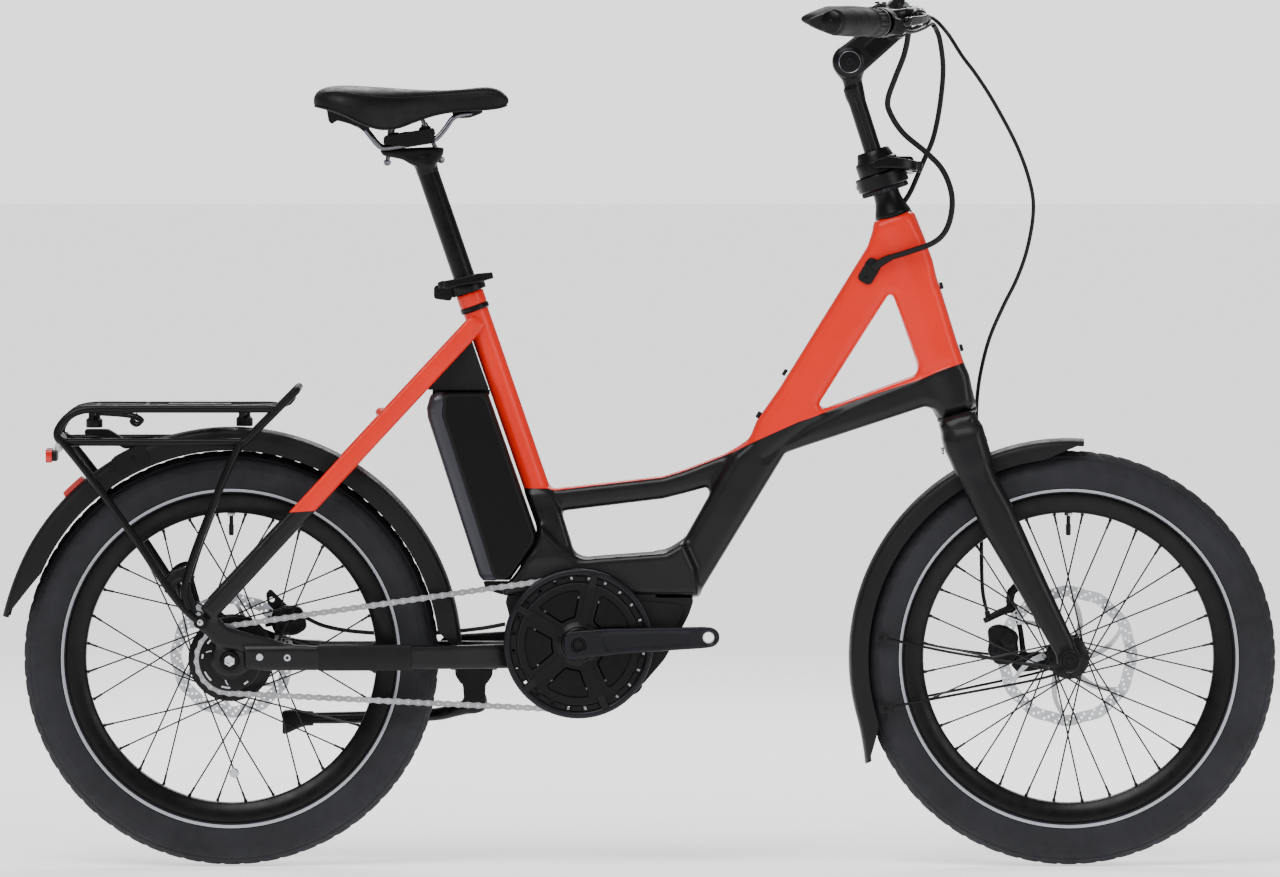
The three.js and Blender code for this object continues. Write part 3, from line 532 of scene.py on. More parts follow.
def piece(name, shape, material, body, stands_for=(), bevel=0.0, segments=2, angle=32.0,
          uv=None, relax=0):
    verts, faces = shape
    mesh = bpy.data.meshes.new(name)
    mesh.from_pydata((np.asarray(verts, float) * MM).tolist(), [], faces)
    if uv is not None:
        layer = mesh.uv_layers.new(name="UVMap")
        loops = np.zeros(len(mesh.loops), np.int32)
        mesh.loops.foreach_get("vertex_index", loops)
        layer.data.foreach_set("uv", np.asarray(uv, np.float32)[loops].ravel())
    work = bmesh.new()
    work.from_mesh(mesh)
    bmesh.ops.remove_doubles(work, verts=work.verts, dist=2e-6)
    bmesh.ops.dissolve_degenerate(work, edges=work.edges, dist=1e-6)
    for _ in range(relax):
        bmesh.ops.smooth_vert(work, verts=work.verts, factor=0.5, use_axis_x=True, use_axis_y=True,
            use_axis_z=True)
    bmesh.ops.recalc_face_normals(work, faces=work.faces)
    work.to_mesh(mesh)
    work.free()
    mesh.materials.append(material)
    mesh.shade_smooth()
    mesh.set_sharp_from_angle(angle=math.radians(angle))
    obj = bpy.data.objects.new(name, mesh)
    bpy.context.scene.collection.objects.link(obj)
    if bevel:
        modifier = obj.modifiers.new("edges", "BEVEL")
        modifier.width = bevel * MM
        modifier.segments = segments
        modifier.limit_method = "ANGLE"
        modifier.angle_limit = math.radians(35)
        modifier.use_clamp_overlap = True
        modifier.harden_normals = True
    if body:
        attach(obj, body)
    if stands_for:
        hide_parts(*([stands_for] if isinstance(stands_for, str) else stands_for))
    return obj


# ---- places taken from the frame -------------------------------------------------------------
def middle(node):
    low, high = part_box(node)
    return [(a + b) / 2 / MM for a, b in zip(low, high)]


rear_x, _, rear_z = middle("rear_rim")
front_x, _, front_z = middle("front_rim")
crank_x, _, crank_z = middle("crank_axle")
SIDES = ((-1, "right"), (1, "left"))
REAR, FRONT, CRANK = (rear_x, rear_z), (front_x, front_z), (crank_x, crank_z)
LEAN = math.radians(17.75)
STEER = np.array([-math.sin(LEAN), 0, math.cos(LEAN)])
STEER_FOOT = np.array([403.3, 0, 574.3])


def steer(t, forward=0.0, side=0.0):
    return STEER_FOOT + STEER * t + np.array([math.cos(LEAN), 0,
        math.sin(LEAN)]) * forward + np.array([0, side, 0])


SEAT_AXIS = unit((-115.1, 0, 334.3))
SEAT_TOP = np.array([-217.4, 0, 731.3])


def seat_at(t):
    return SEAT_TOP + SEAT_AXIS * t


# A bolt head with a hexagon socket, its face towards direction.
def bolt(at, direction, radius=4.0, height=3.0, socket=0.5):
    u, v, w = axes(direction)
    at = np.asarray(at, float)
    profile = [(radius * 0.96, 0), (radius, height * 0.2), (radius, height * 0.72),
        (radius * 0.86, height)]
    rows = [at + np.outer(c[:, 0], u) + np.outer(c[:, 1], v) + w * h
            for c, h in ((circle(r, 18), h) for r, h in profile)]
    hexagon = np.repeat(circle(radius * socket, 6), 3, 0)
    for h in (height, height * 0.35):
        rows.append(at + np.outer(hexagon[:, 0], u) + np.outer(hexagon[:, 1], v) + w * h)
    return skin(rows)


# ---- main frame ------------------------------------------------------------------------------
head_top, head_foot = steer(263), steer(2)
outer_frame = [
    (299.5, 820), (342, 832), (350, 820), (360, 800), (371.5, 770), (376, 745), (383, 727),
    (402, 663.5), (410, 641), (418, 625), (424, 588), (416, 580), (384, 573), (374, 582), (362, 585),
    (280, 558), (201, 532), (184.6, 526), (75.6, 347), (69, 344), (22, 344), (22, 398), (42, 403),
    (55, 413), (91, 477), (118, 524), (138.5, 541.5), (148.3, 566), (178.4, 609), (289.7, 788.6),
]
front_window = rounded([(316, 728), (322, 726), (354, 638), (352, 625), (233, 581.5), (227, 588)], 7)
low_tube = [
    (160, 552), (122, 531), (101.6, 522), (55, 504), (29, 496), (-23, 490), (-112, 480), (-106, 451),
    (29, 467.5), (55, 474), (84, 482), (100, 470), (140, 500),
]
body = Field((-246, -46, 338), (436, 46, 840), 2.2)
half = 27 + 3 * np.clip((700 - body.z) / 250, 0, 1)
d = body.flat(outer_frame)
d = np.maximum(d, -body.flat(front_window))
u, v = d + 11, np.abs(body.y) - half + 11
body.add(np.sqrt(np.maximum(u, 0) ** 2 + np.maximum(v, 0) ** 2) + np.minimum(np.maximum(u, v), 0) - 11)
body.add(body.cylinder(head_foot, head_top, 26.5, 3), 8)
body.add(body.slab(low_tube, 16.5, 9), 9)
body.add(body.cylinder((-104.5, 0, 404), seat_at(-1), 16.2, 1.5), 8)
body.cut(body.cylinder(steer(-30), steer(300), 17.2, 1))
cradle = [(-146, 478), (-115, 481), (-100, 452), (-84, 400), (-70, 388), (-150, 384), (-143, 400),
    (-127, 429)]
half = 20 + 15 * np.clip((478 - body.z) / 85, 0, 1)
d = body.flat(rounded(cradle, 6))
u, v = d + 8, np.abs(body.y) - half + 8
body.add(np.sqrt(np.maximum(u, 0) ** 2 + np.maximum(v, 0) ** 2) + np.minimum(np.maximum(u, v), 0) - 8,
    6)
motor_top = [(-126, 434), (-132, 409), (-163, 366), (-174, 358), (-174, 345.5), (74, 345.5), (70, 380),
    (55, 413), (32, 400), (-50, 394), (-81, 391), (-98, 404),]
body.add(body.slab(motor_top, 39.6, 7), 9)
body.add(body.cylinder(seat_at(-19), seat_at(-1), 17.8, 1))
# Room on the left for the foot of the battery, which drops as it swings out.
swing_room = [(-118, 446), (-115, 428), (-119, 404), (-156, 348), (-182, 339), (-184, 380), (-150, 400),
    (-130, 446)]
body.cut(body.slab(swing_room, 24, 3, middle=28), 2)
body.cut(body.cylinder(seat_at(-14), seat_at(40), 14.4, 0.4))
# creases that run along the flanks of the beam
for line in ([(300, 800), (215, 664), (172, 596)], [(392, 640), (300, 604), (214, 562), (160, 520)]):
    body.cut(body.tube([(x, -y, z) for (x, z), y in zip(line, [29.5, 30, 30.5, 31])],
        [3.2] * len(line)), 4)
    body.cut(body.tube([(x, y, z) for (x, z), y in zip(line, [29.5, 30, 30.5, 31])], [3.2] * len(line)),
        4)
main_skin = body.shape()
piece("main_frame_skin", main_skin, two_tone, "frame", ("upper_frame", "lower_frame", "low_top_tube",
    "seat_tube"), angle=50, relax=2)

stay_bar = rounded([(-214, 702), (-196, 692), (-208, 674), (-541, 315), (-558, 331.5)], 4)
stay_x, stay_y = (-572, -533, -428, -329, -214, -200), (72, 70.5, 61, 49, 24.5, 14)
run_bar = rounded([(-560, 281), (-150, 284.3), (-150, 253.4), (-560, 254)], 4)
run_x, run_y = (-560, -409, -300, -232, -167.5, -150), (71.5, 70, 62, 54, 36, 30)
hanger = rounded([(-565, 318), (-552, 326), (-532, 318), (-523, 308), (-502, 301.5), (-475, 295),
    (-453, 288), (-430, 284), (-406, 283), (-406, 254), (-480, 253), (-486, 256), (-498, 273),
    (-507, 278), (-534, 282), (-541, 287), (-549, 297), (-563, 308),], 3.5)
rear = Field((-576, 2, 232), (-146, 84, 708), 2.0)


def leaning(field, xs, ys):
    return np.interp(field.x.ravel(), xs, ys).astype(np.float32).reshape(-1, 1, 1)


rear.add(rear.slab(stay_bar, 8.2, 4.5, middle=leaning(rear, stay_x, stay_y)))
rear.add(rear.slab(hanger, 4.2, 1.6, middle=71.5), 3)
holder = rounded([(-538, 286), (-500, 282), (-488, 268), (-494, 254), (-506, 246), (-522, 244),
    (-536, 249), (-544, 262)], 8)
rear.add(rear.slab(holder, 2.6, 1.0, middle=69.9), 1)
run_shape = rear.slab(run_bar, 7.6, 3.6, middle=leaning(rear, run_x, run_y))
rear.add(np.maximum(run_shape, -(rear.x + 500)), 4)
rear.cut(rear.cylinder(beside(REAR, 40), beside(REAR, 99), 6.8, 0.5))
rear.cut(rear.cylinder(seat_at(-170), seat_at(12), 14.4, 0.4))
left = rear.shape()
piece("rear_stays_left", left, two_tone, "frame", ("seat_stay_left", "chain_stay_left"), angle=50,
    relax=1)
piece("rear_stays_right", mirror(left), two_tone, "frame", ("seat_stay_right", "chain_stay_right"),
      angle=50, relax=1)
# a bridge between the stays, behind the seat tube and over the rear wheel
piece("stay_bridge", merge(tube([(-322, -48, 574), (-330, 0, 577), (-322, 48, 574)], 6.5, 16)), orange,
    "frame")
# rubber sleeve on the right stay
sleeve = [(-408, -69.6, 268.5), (-380, -68.6, 268.5), (-330, -65, 268.5), (-290, -61.4, 268.5)]
wrap = np.array([(-8.6, -13), (-7, -16.3), (7, -16.3), (8.6, -13), (8.6, 13), (7, 16.3), (-7, 16.3),
    (-8.6, 13)])
piece("stay_guard", sweep(smooth(sleeve, 5), wrap), plastic, "frame", bevel=1.2, segments=3)

# ---- motor -----------------------------------------------------------------------------------
motor_outline = [(20, 350), (-75, 350), (-150, 348), (-168, 345), (-171, 338), (-166, 320), (-163, 285),
    (-157, 258), (-140, 230), (-110, 213), (-75, 207), (-40, 212), (2, 231), (13.9, 244.7),
    (30.9, 264.2), (55.3, 308.1), (62, 321), (69.4, 343), (20, 343),]
motor_hole = [disc(CRANK, 13.2, 32)]
motor_nose = plate(rounded([(8, 347), (50, 350), (50, 395), (8, 395)], 3), -28.5, 28.5)
piece("motor_core", merge(plate(rounded(motor_outline, 8), -37, 37, motor_hole), motor_nose), plastic,
    "frame", "motor_housing", bevel=4, segments=4)
cover = rounded([
    (14, 338), (-60, 341), (-132, 338), (-150, 318), (-152, 280), (-134, 240), (-104, 222), (-70, 217),
    (-36, 222), (0, 238), (24, 266), (46, 306), (58, 334),
], 12)
for side, label in SIDES:
    low, high = sorted((side * 36.9, side * 41.4))
    piece("motor_cover_" + label, plate(cover, low, high, [disc(CRANK, 17, 36)]),
          plastic, "frame", bevel=2.2, segments=4)
    spots = [(30, 300), (-20, 236), (-120, 246), (-140, 322)]
    piece("motor_screws_" + label, merge(*[bolt((x, side * 41.2, z), (0, side, 0), 3.6, 1.9) for x,
        z in spots]), black_metal, "frame")
ring_profile = [(17.2, 36), (24, 36), (25, 38), (25, 43.4), (23.6, 44.8), (17.6, 44.8)]
for side in (-1, 1):
    piece("motor_bearing_" + ("right" if side < 0 else "left"),
          lathe(ring_profile, beside(CRANK, 0), (0, side, 0), 56, True), grey_metal, "frame")
piece("motor_skid", plate(rounded([(-112, 212.4), (-40, 211), (4, 230), (-2, 222), (-40, 203),
    (-112, 204.6), (-140, 222), (-143, 231)], 3), -26, 26), grey_metal, "frame", bevel=1.6)

# bosses and port on the frame
front_bolts = [bolt((381, 0, 738), (1, 0, 0.28), 4.6, 4.5),
    bolt((406.5, 0, 659), (1, 0, 0.28), 4.6, 4.5)]
rear_bolts = [bolt((186, 0, 627), (-0.85, 0, 0.52), 4.6, 4.5),
    bolt((153, 0, 573), (-0.85, 0, 0.5), 4.6, 5)]
piece("frame_bolts", merge(*rear_bolts, *front_bolts), grey_metal, "frame")
port = rounded([(274.5, 748), (291.5, 777), (309, 767.5), (292, 738.5)], 7)
piece("cable_port", plate(port, -30.6, -26), plastic, "frame", bevel=1.4, segments=3)
piece("cable_port_screws", merge(bolt((286.5, -30.5, 750.5), (0, -1, 0), 2.4, 1.0),
    bolt((288, -30.5, 768), (0, -1, 0), 2.4, 1.0)), black_metal, "frame")
boot = [(296, -31, 762), (306, -33, 769), (318, -34, 775.5)]
piece("cable_boot", tube(boot, 4.6, 18, 4, [1.15, 1.1, 0.95]), grip_rubber, "frame")

# headset: lower race under the head tube and a tapered dust cone above it
cone = [(17.3, 262.5), (23.6, 262.5), (24.2, 264.5), (23.6, 266.5), (17.3, 266.5)]
piece("headset_upper_race", lathe(cone, steer(0), STEER, 56, True), black_metal, "frame")
race = [(17.4, -3), (24, -4), (26.4, -1), (26.4, 2.2), (17.4, 2.2)]
piece("headset_lower_race", lathe(race, steer(0), STEER, 56, True), black_metal, "frame")

# ring band low on the seat tube top and the seat clamp
band = [(16.3, -26), (17.6, -26), (18.6, -24.5), (18.6, -20.5), (18.2, -19), (16.3, -19)]
piece("seat_tube_band", lathe(band, seat_at(0), SEAT_AXIS, 48, True), black_metal, "frame")
clamp = [(16.6, -1.5), (21.6, -1.5), (22.4, -0.5), (22.9, 4), (22.3, 12), (21.4, 13.5), (14.6, 13.5),
    (14.4, 1), (16.6, 0.6)]
ear = rounded([(-262, 722), (-240, 719), (-236, 736), (-250, 741), (-262, 738)], 4)
piece("seat_clamp_body", merge(lathe(clamp, seat_at(0), SEAT_AXIS, 56, True), plate(ear, -8.2, -1.4),
    plate(ear, 1.4, 9.5)), black_metal, "frame", "seat_clamp", bevel=0.8)
piece("seat_clamp_pin", merge(rod((-253, -8.6, 732), (-253, 12, 732), 3.2, 16),
    lathe([(6.4, 0), (7, 1), (7, 6), (6, 7.2), (0, 7.4)], (-253, 9.5, 732), ACROSS, 24)), black_metal,
    "frame", bevel=0.4)

# ---- wheels ----------------------------------------------------------------------------------
def tyre(name, centre, body_name, node):
    around, across = 528, 60
    section = smooth([(203.8, -10.6), (210.5, -12.4), (216.5, -25.5), (226, -30.3), (236, -30.8),
        (246, -27.6), (255.5, -19.5), (262, -9.5), (264, 0), (262, 9.5), (255.5, 19.5), (246, 27.6),
        (236, 30.8), (226, 30.3), (216.5, 25.5), (210.5, 12.4), (203.8, 10.6)], 4)
    lengths = np.concatenate([[0], np.cumsum(np.linalg.norm(np.diff(section, axis=0), axis=1))])
    s = np.linspace(0, lengths[-1], across)
    radius, y = np.interp(s, lengths, section[:, 0]), np.interp(s, lengths, section[:, 1])
    slope = np.gradient(radius), np.gradient(y)
    size = np.hypot(*slope)
    out_r, out_y = slope[1] / size, -slope[0] / size
    flip = np.where(out_r * (radius - 228) + out_y * y < 0, -1, 1)
    out_r, out_y = out_r * flip, out_y * flip
    rows = []
    shoulder = np.abs(s - lengths[-1] / 2)
    for i in range(around):
        a = 2 * math.pi * i / around
        phase = (i % 8) / 8
        side_phase = ((i + 4) % 8) / 8
        depth = np.zeros(across)
        swept = (phase + shoulder / 46) % 1
        depth += np.where((shoulder > 4) & (shoulder < 19) & (swept < 0.25), 1.0, 0)
        depth += np.where((shoulder > 20.5) & (shoulder < 23.5), 1.1, 0)
        depth += np.where((shoulder >= 23.5) & (shoulder < 39) & ((side_phase
            + shoulder / 90) % 1 < 0.26), 0.8, 0)
        depth += np.where(shoulder < 1.6, 1.2, 0)
        swell = np.where((shoulder > 39) & (shoulder < 42), -0.5, 0.0)
        swell += np.where((radius > 217) & (radius < 218.6) & (shoulder > 50), -0.5, 0.0)
        r, w = radius - (depth + swell) * out_r, y - (depth + swell) * out_y
        rows.append(np.stack([centre[0] + r * math.cos(a), w, centre[1] + r * math.sin(a)], 1))
    outside = skin(rows, False, False, True)
    inner = []
    for i in range(around):
        a = 2 * math.pi * i / around
        r, w = radius - 3.2 * out_r, y - 3.2 * out_y
        keep = np.stack([centre[0] + r * math.cos(a), w, centre[1] + r * math.sin(a)], 1)
        inner.append(keep[[0, 10, 20, 30, 40, 49, 59]])
    inside = skin(inner, False, False, True)
    count = across
    verts = np.concatenate([outside[0], inside[0]])
    faces = outside[1] + [tuple(k + around * count for k in f) for f in inside[1]]
    for i in range(around):
        j = (i + 1) % around
        for a, b in ((0, 0), (count - 1, 6)):
            faces.append((i * count + a, j * count + a, around * count + j * 7 + b,
                around * count + i * 7 + b))
    piece(name + "_tyre_tread", (verts, faces), rubber, body_name, node, angle=24)
    lines = []
    for side in (-1, 1):
        lines.append(lathe([(212.3, side * 21.2), (212.6, side * 21.9), (215.2, side * 25.9),
            (215.9, side * 25.8), (215.4, side * 24.2), (212.6, side * 20.2)], beside(centre, 0),
            ACROSS, 144, True))
    piece(name + "_tyre_stripe", merge(*lines), stripe_grey, body_name, angle=50)


def rim(name, centre, body_name, node):
    profile = [(185, -8), (186.5, -10.2), (198, -13.6), (207.5, -15), (209, -14.6), (209, -13),
        (206.5, -12.2), (202.4, -11.6), (202.4, 11.6), (206.5, 12.2), (209, 13), (209, 14.6),
        (207.5, 15), (198, 13.6), (186.5, 10.2), (185, 8), (184.4, 4), (184.2, 0), (184.4, -4)]
    piece(name + "_rim_hoop", lathe(profile, beside(centre, 0), ACROSS, 144, True), black_metal,
        body_name, node, angle=40)
    valve = arc(centre, 184.2, 90, 90, 1)[0]
    stem = [(0, -6), (3.4, -6), (3.4, 1), (2.6, 1.5), (2.6, 14), (3.3, 14.5), (3.3, 27), (2.4, 28.5),
        (0, 28.8)]
    piece(name + "_valve", lathe(stem, beside(valve, 0), (0, 0, -1), 16), black_metal, body_name)
    piece(name + "_valve_nut", lathe([(3.5, 0), (6, 0), (6, 3.4), (3.5, 3.4)], beside(valve, 0),
        (0, 0, -1), 6, True), bright, body_name, bevel=0.3)


def spokes(name, centre, flange, flange_y, lead, body_name, node):
    wires, nipples = [], []
    for side in (-1, 1):
        for i in range(16):
            turn_by = 22.5 * i + (11.25 if side > 0 else 0) + 5.6
            lean = lead if i % 2 else -lead
            y0 = side * (flange_y + (1.9 if i % 2 else -1.9))
            x0, z0 = on_circle(centre, flange, turn_by + lean)
            x1, z1 = on_circle(centre, 183.0, turn_by)
            a, b = np.array([x0, y0, z0]), np.array([x1, side * 3.0, z1])
            wires.append(rod(a, b, 1.05, 8))
            head = np.array([x0, side * (flange_y + (3.4 if i % 2 else -3.4)), z0])
            wires.append(rod(head, [x0, side * (flange_y - (1.0 if i % 2 else -1.0)), z0], 1.9, 8))
            w = unit(b - a)
            nipples.append(lathe([(0, 0), (1.3, 0.2), (1.5, 1), (1.5, 10.5), (2.2, 11.2), (2.2, 13.8)],
                b - w * 12.6, w, 8))
    piece(name + "_spoke_set", merge(*wires), black_metal, body_name, node)
    piece(name + "_nipples", merge(*nipples), grey_metal, body_name)


def star(centre, inner, outer, arms, sweep_by, width_in, width_out):
    shapes = []
    for k in range(arms):
        left_edge, right_edge = [], []
        for t in np.linspace(0, 1, 7):
            r = inner + (outer - inner) * t
            a = 360 * k / arms + sweep_by * t ** 1.2
            w = width_in + (width_out - width_in) * t
            bend = math.degrees(w / 2 / r)
            left_edge.append(on_circle(centre, r, a + bend))
            right_edge.append(on_circle(centre, r, a - bend))
        shapes.append([*right_edge, *left_edge[::-1]])
    return shapes


def brake_disc(name, centre, radius, y, hub, body_name, node):
    outline, inner_line = [], []
    for i in range(180):
        a = math.radians(i * 2)
        wave = radius - 1.2 + 1.2 * math.cos(12 * a)
        outline.append((centre[0] + wave * math.cos(a), centre[1] + wave * math.sin(a)))
        wave = radius - 15.4 + 1.0 * math.cos(12 * a)
        inner_line.append((centre[0] + wave * math.cos(a), centre[1] + wave * math.sin(a)))
    holes = [inner_line]
    for i in range(36):
        for row, shift in ((4.4, 0), (8.2, 3.3), (12.0, 6.6)):
            hole_at = on_circle(centre, radius - row - 0.6, i * 10 + shift)
            holes.append(disc(hole_at, 1.7, 8))
    shapes = [plate(outline, y - 0.95, y + 0.95, holes)]
    for arm in star(centre, hub + 8, radius - 14, 6, 26, 9, 6):
        shapes.append(plate(arm, y - 0.9, y + 0.9))
    piece(name + "_disc", merge(*shapes), steel, body_name, node, angle=30)
    carrier = []
    for i in range(60):
        a = math.radians(i * 6)
        r = hub + 9 + 5 * max(0.0, math.cos(6 * a)) ** 1.5
        carrier.append((centre[0] + r * math.cos(a), centre[1] + r * math.sin(a)))
    piece(name + "_disc_carrier", plate(carrier, y - 2.6, y + 2.6, [disc(centre, hub + 0.6, 40)]),
        grey_metal, body_name, bevel=0.6)
    heads = []
    for k in range(6):
        x, z = on_circle(centre, hub + 10.4, 60 * k)
        for side in (-1, 1):
            heads.append(bolt((x, y + side * 2.2, z), (0, side, 0), 2.7, 1.5))
    piece(name + "_disc_bolts", merge(*heads), bright, body_name)


tyre("rear", REAR, "rear_wheel", "rear_tyre")
tyre("front", FRONT, "front_wheel", "front_tyre")
rim("rear", REAR, "rear_wheel", "rear_rim")
rim("front", FRONT, "front_wheel", "front_rim")
spokes("rear", REAR, 50.5, 28, 52, "rear_wheel", "rear_spokes")
spokes("front", FRONT, 22.8, 26, 66, "front_wheel", "front_spokes")
brake_disc("rear", REAR, 80, 54, 18, "rear_wheel", "rear_rotor")
brake_disc("front", FRONT, 90, 43, 18, "front_wheel", "front_rotor")

front_hub = [(9, -49), (12.2, -49), (13, -48), (13.6, -34), (15, -30), (24.6, -28.2), (26, -27.4),
    (26, -24.6), (24.6, -23.8), (19, -20), (15.8, -14), (15, 0), (15.8, 14), (19, 20), (24.6, 23.8),
    (26, 24.6), (26, 27.4), (24.6, 28.2), (18, 31), (17.4, 33), (17.4, 48), (16.4, 49), (9, 49)]
piece("front_hub_shell", lathe(front_hub, beside(FRONT, 0), ACROSS, 64, True), black_metal,
    "front_wheel", "front_hub", angle=40)
rear_hub = [(8, -44), (33, -44), (34, -43), (34.4, -34), (36, -31), (52.6, -30.2), (54, -29.2),
    (54, -26.8), (52.6, -25.8), (49, -23), (46.6, -18), (46, 0), (46.6, 18), (49, 23), (52.6, 25.8),
    (54, 26.8), (54, 29.2), (52.6, 30.2), (40, 33), (26, 36), (18, 41), (17.4, 43), (17.4, 59),
    (16.4, 60), (8, 60)]
piece("rear_hub_shell", lathe(rear_hub, beside(REAR, 0), ACROSS, 72, True), black_metal, "rear_wheel",
      "rear_hub", angle=40)
piece("spoke_magnet", lathe([(0, 0), (5, 0), (6, 1), (6, 8), (5, 9), (0, 9)],
    (REAR[0] + 4, -22, REAR[1] - 146), ACROSS, 24), bright, "rear_wheel", bevel=0.5)
for side, label in SIDES:
    nut_at = beside(REAR, side * 72.6)
    washer = lathe([(7, 0), (12, 0), (12.4, 0.6), (12.4, 2.6), (11.2, 4.2), (7, 4.2)], nut_at,
        (0, side, 0), 48, True)
    hexa = lathe([(7.4, 4), (7.4, 8.6), (6.6, 9.6), (4.2, 9.6), (3.8, 6.4), (0, 6.4)], nut_at,
        (0, side, 0), 6)
    piece("rear_axle_washer_" + label, washer, gloss, "frame", bevel=0.3)
    piece("rear_axle_nut_" + label, hexa, bright, "frame", ("rear_axle",) if side < 0 else (),
        bevel=0.5)
    cap = lathe([(0, 0.3), (13.4, 0.3), (14.2, 1.2), (14.2, 3.6), (13, 5), (10.4, 5.2), (9.8, 3.8),
        (5, 3.8), (4.4, 5.4), (0, 5.6)], beside(FRONT, side * 72.5), (0, side, 0), 48)
    piece("front_axle_cap_" + label, cap, black_metal, "fork", ("front_axle",) if side < 0 else (),
        angle=30)
    piece("front_axle_ring_" + label, lathe([(11.2, 4.6), (13.0, 4.6), (12.6, 5.9), (11.5, 5.9)],
        beside(FRONT, side * 72.5), (0, side, 0), 48, True), grey_metal, "fork")
piece("front_axle_rod", rod(beside(FRONT, -54.4), beside(FRONT, 54.4), 5.8, 24), bright, "fork")
piece("rear_axle_rod", rod(beside(REAR, -75.4), beside(REAR, 75.4), 5.8, 24), bright, "frame")

# ---- fork ------------------------------------------------------------------------------------
leg = [(392, 530), (389, 543), (398, 556), (432, 562), (444, 521), (452.7, 497.5), (472.5, 461.3),
    (512, 373), (551, 288), (557, 266), (553, 255), (545, 250), (536, 252), (530, 256), (527, 272),
    (480, 352), (434.9, 428.3), (412, 477.5),]
crown = [(384, 569.5), (402, 577), (424, 581.5), (429, 570), (440, 535), (444, 521), (430, 500),
    (404, 500), (389, 530), (381, 560)]
half_fork = Field((376, -2, 246), (562, 78, 588), 2.0)
crown_shape = half_fork.slab(crown, 66, 14)
wheel_room = half_fork.cylinder(beside(FRONT, -50), beside(FRONT, 42), 291, 8)
half_fork.add(np.maximum(crown_shape, -wheel_room))
heights = (250, 290, 350, 420, 560)
thick = np.interp(half_fork.z, heights, (8.4, 9.0, 11.0, 12.6, 13.4))
leg_y = np.interp(half_fork.z, heights, (63.6, 63.2, 61.2, 59.6, 57.5))
d = half_fork.flat(leg)
u, v = d + thick, np.abs(half_fork.y - leg_y)
half_fork.add(np.sqrt(np.maximum(u, 0) ** 2 + v ** 2) - thick, 12)
half_fork.add(half_fork.cylinder(beside(FRONT, 55), beside(FRONT, 72), 14.5, 2), 5)
half_fork.cut(half_fork.cylinder(beside(FRONT, 40), beside(FRONT, 90), 6.4, 0.3))
leg_shape = half_fork.shape()
keep = [f for f in leg_shape[1] if min(leg_shape[0][i][1] for i in f) > -1.0]
piece("fork_skin", merge((leg_shape[0], keep), mirror((leg_shape[0], keep))), black_paint, "fork",
    "fork", angle=50, relax=1)
piece("steerer", lathe([(14.3, -6), (14.3, 296), (11.7, 296), (11.7, 60), (0.2, 59)], steer(0), STEER,
    40), grey_metal, "fork")
crown_bolts = [bolt((386.5, -12, 529), (-1, 0, -0.1), 4.4, 3.4),
    bolt((437.5, -22, 544.5), (1, 0, 0.32), 4.4, 3.2), bolt((437.5, 22, 544.5), (1, 0, 0.32), 4.4, 3.2)]
piece("crown_bolts", merge(*crown_bolts), bright, "fork")

# ---- brakes ----------------------------------------------------------------------------------
def caliper(name, outline, low, high, disc_at, disc_y, room, bolts, body_name, node):
    grid = Field((min(p[0] for p in outline) - 4, low - 3, min(p[1] for p in outline) - 4),
                 (max(p[0] for p in outline) + 4, high + 3, max(p[1] for p in outline) + 4), 0.9)
    grid.add(grid.slab(rounded(outline, 7), (high - low) / 2, 3.5, middle=(high + low) / 2))
    cx = sum(p[0] for p in outline) / len(outline)
    cz = sum(p[1] for p in outline) / len(outline)
    for sign in (-1, 1):
        pot = (cx + sign * 9, cz + sign * 8)
        grid.add(grid.cylinder(beside(pot, low - 0.6), beside(pot, high + 0.6), 10.5, 2), 3)
    grid.cut(grid.cylinder(beside(disc_at, disc_y - 2.2), beside(disc_at, disc_y + 2.2), room, 0.2))
    piece(name, grid.shape(), black_metal, body_name, node, angle=50, relax=1)
    heads = [bolt((x, y, z), (0, math.copysign(1, y), 0), 3.6, 2.4) for x, y, z in bolts]
    heads += [bolt((cx - 9, low - 0.4, cz - 8), (0, -1, 0), 6.4, 1.4, 0.55)]
    piece(name + "_bolts", merge(*heads), grey_metal, body_name)


caliper("front_caliper_body", [(443, 300), (456, 306), (472, 302), (481, 286), (484, 268), (472, 254),
    (452, 254), (446, 270)], 34.5, 53, FRONT, 43, 93, [(470, 53, 297), (470, 53, 262)], "fork",
    "front_caliper")
bracket = Field((436, 42, 236), (536, 62, 366), 1.2)
bracket.add(bracket.tube([(498, 52, 358), (484, 52, 356), (474, 52, 346), (472, 52, 334),
    (476, 52, 324)], [6, 6, 5.6, 5.2, 5]))
bracket.add(bracket.tube([(476, 52, 326), (460, 51, 320), (446, 50, 313)], [5.4, 5, 4.4]), 3)
bracket.add(bracket.slab([(474, 252), (480, 267), (504, 270), (534, 268), (534, 252), (502, 245),
    (482, 243)], 4, 2, middle=52), 3)
bracket.add(bracket.tube([(480, 52, 322), (486, 52, 296), (490, 52, 262)], [4.2, 3.4, 4.2]), 3)
bracket.cut(bracket.cylinder(beside(FRONT, 38), beside(FRONT, 45.2), 94, 0.2))
piece("front_caliper_bracket", bracket.shape(), black_metal, "fork", angle=50, relax=1)
piece("front_bracket_bolts", merge(bolt((496, 56.4, 357), ACROSS, 4, 2),
    bolt((486, 55.6, 258), ACROSS, 4, 2), bolt((496, 46.4, 357), (0, -1, 0), 3.4, 1.2),
    bolt((514, 48.2, 257), (0, -1, 0), 3.4, 1.2)), grey_metal, "fork")
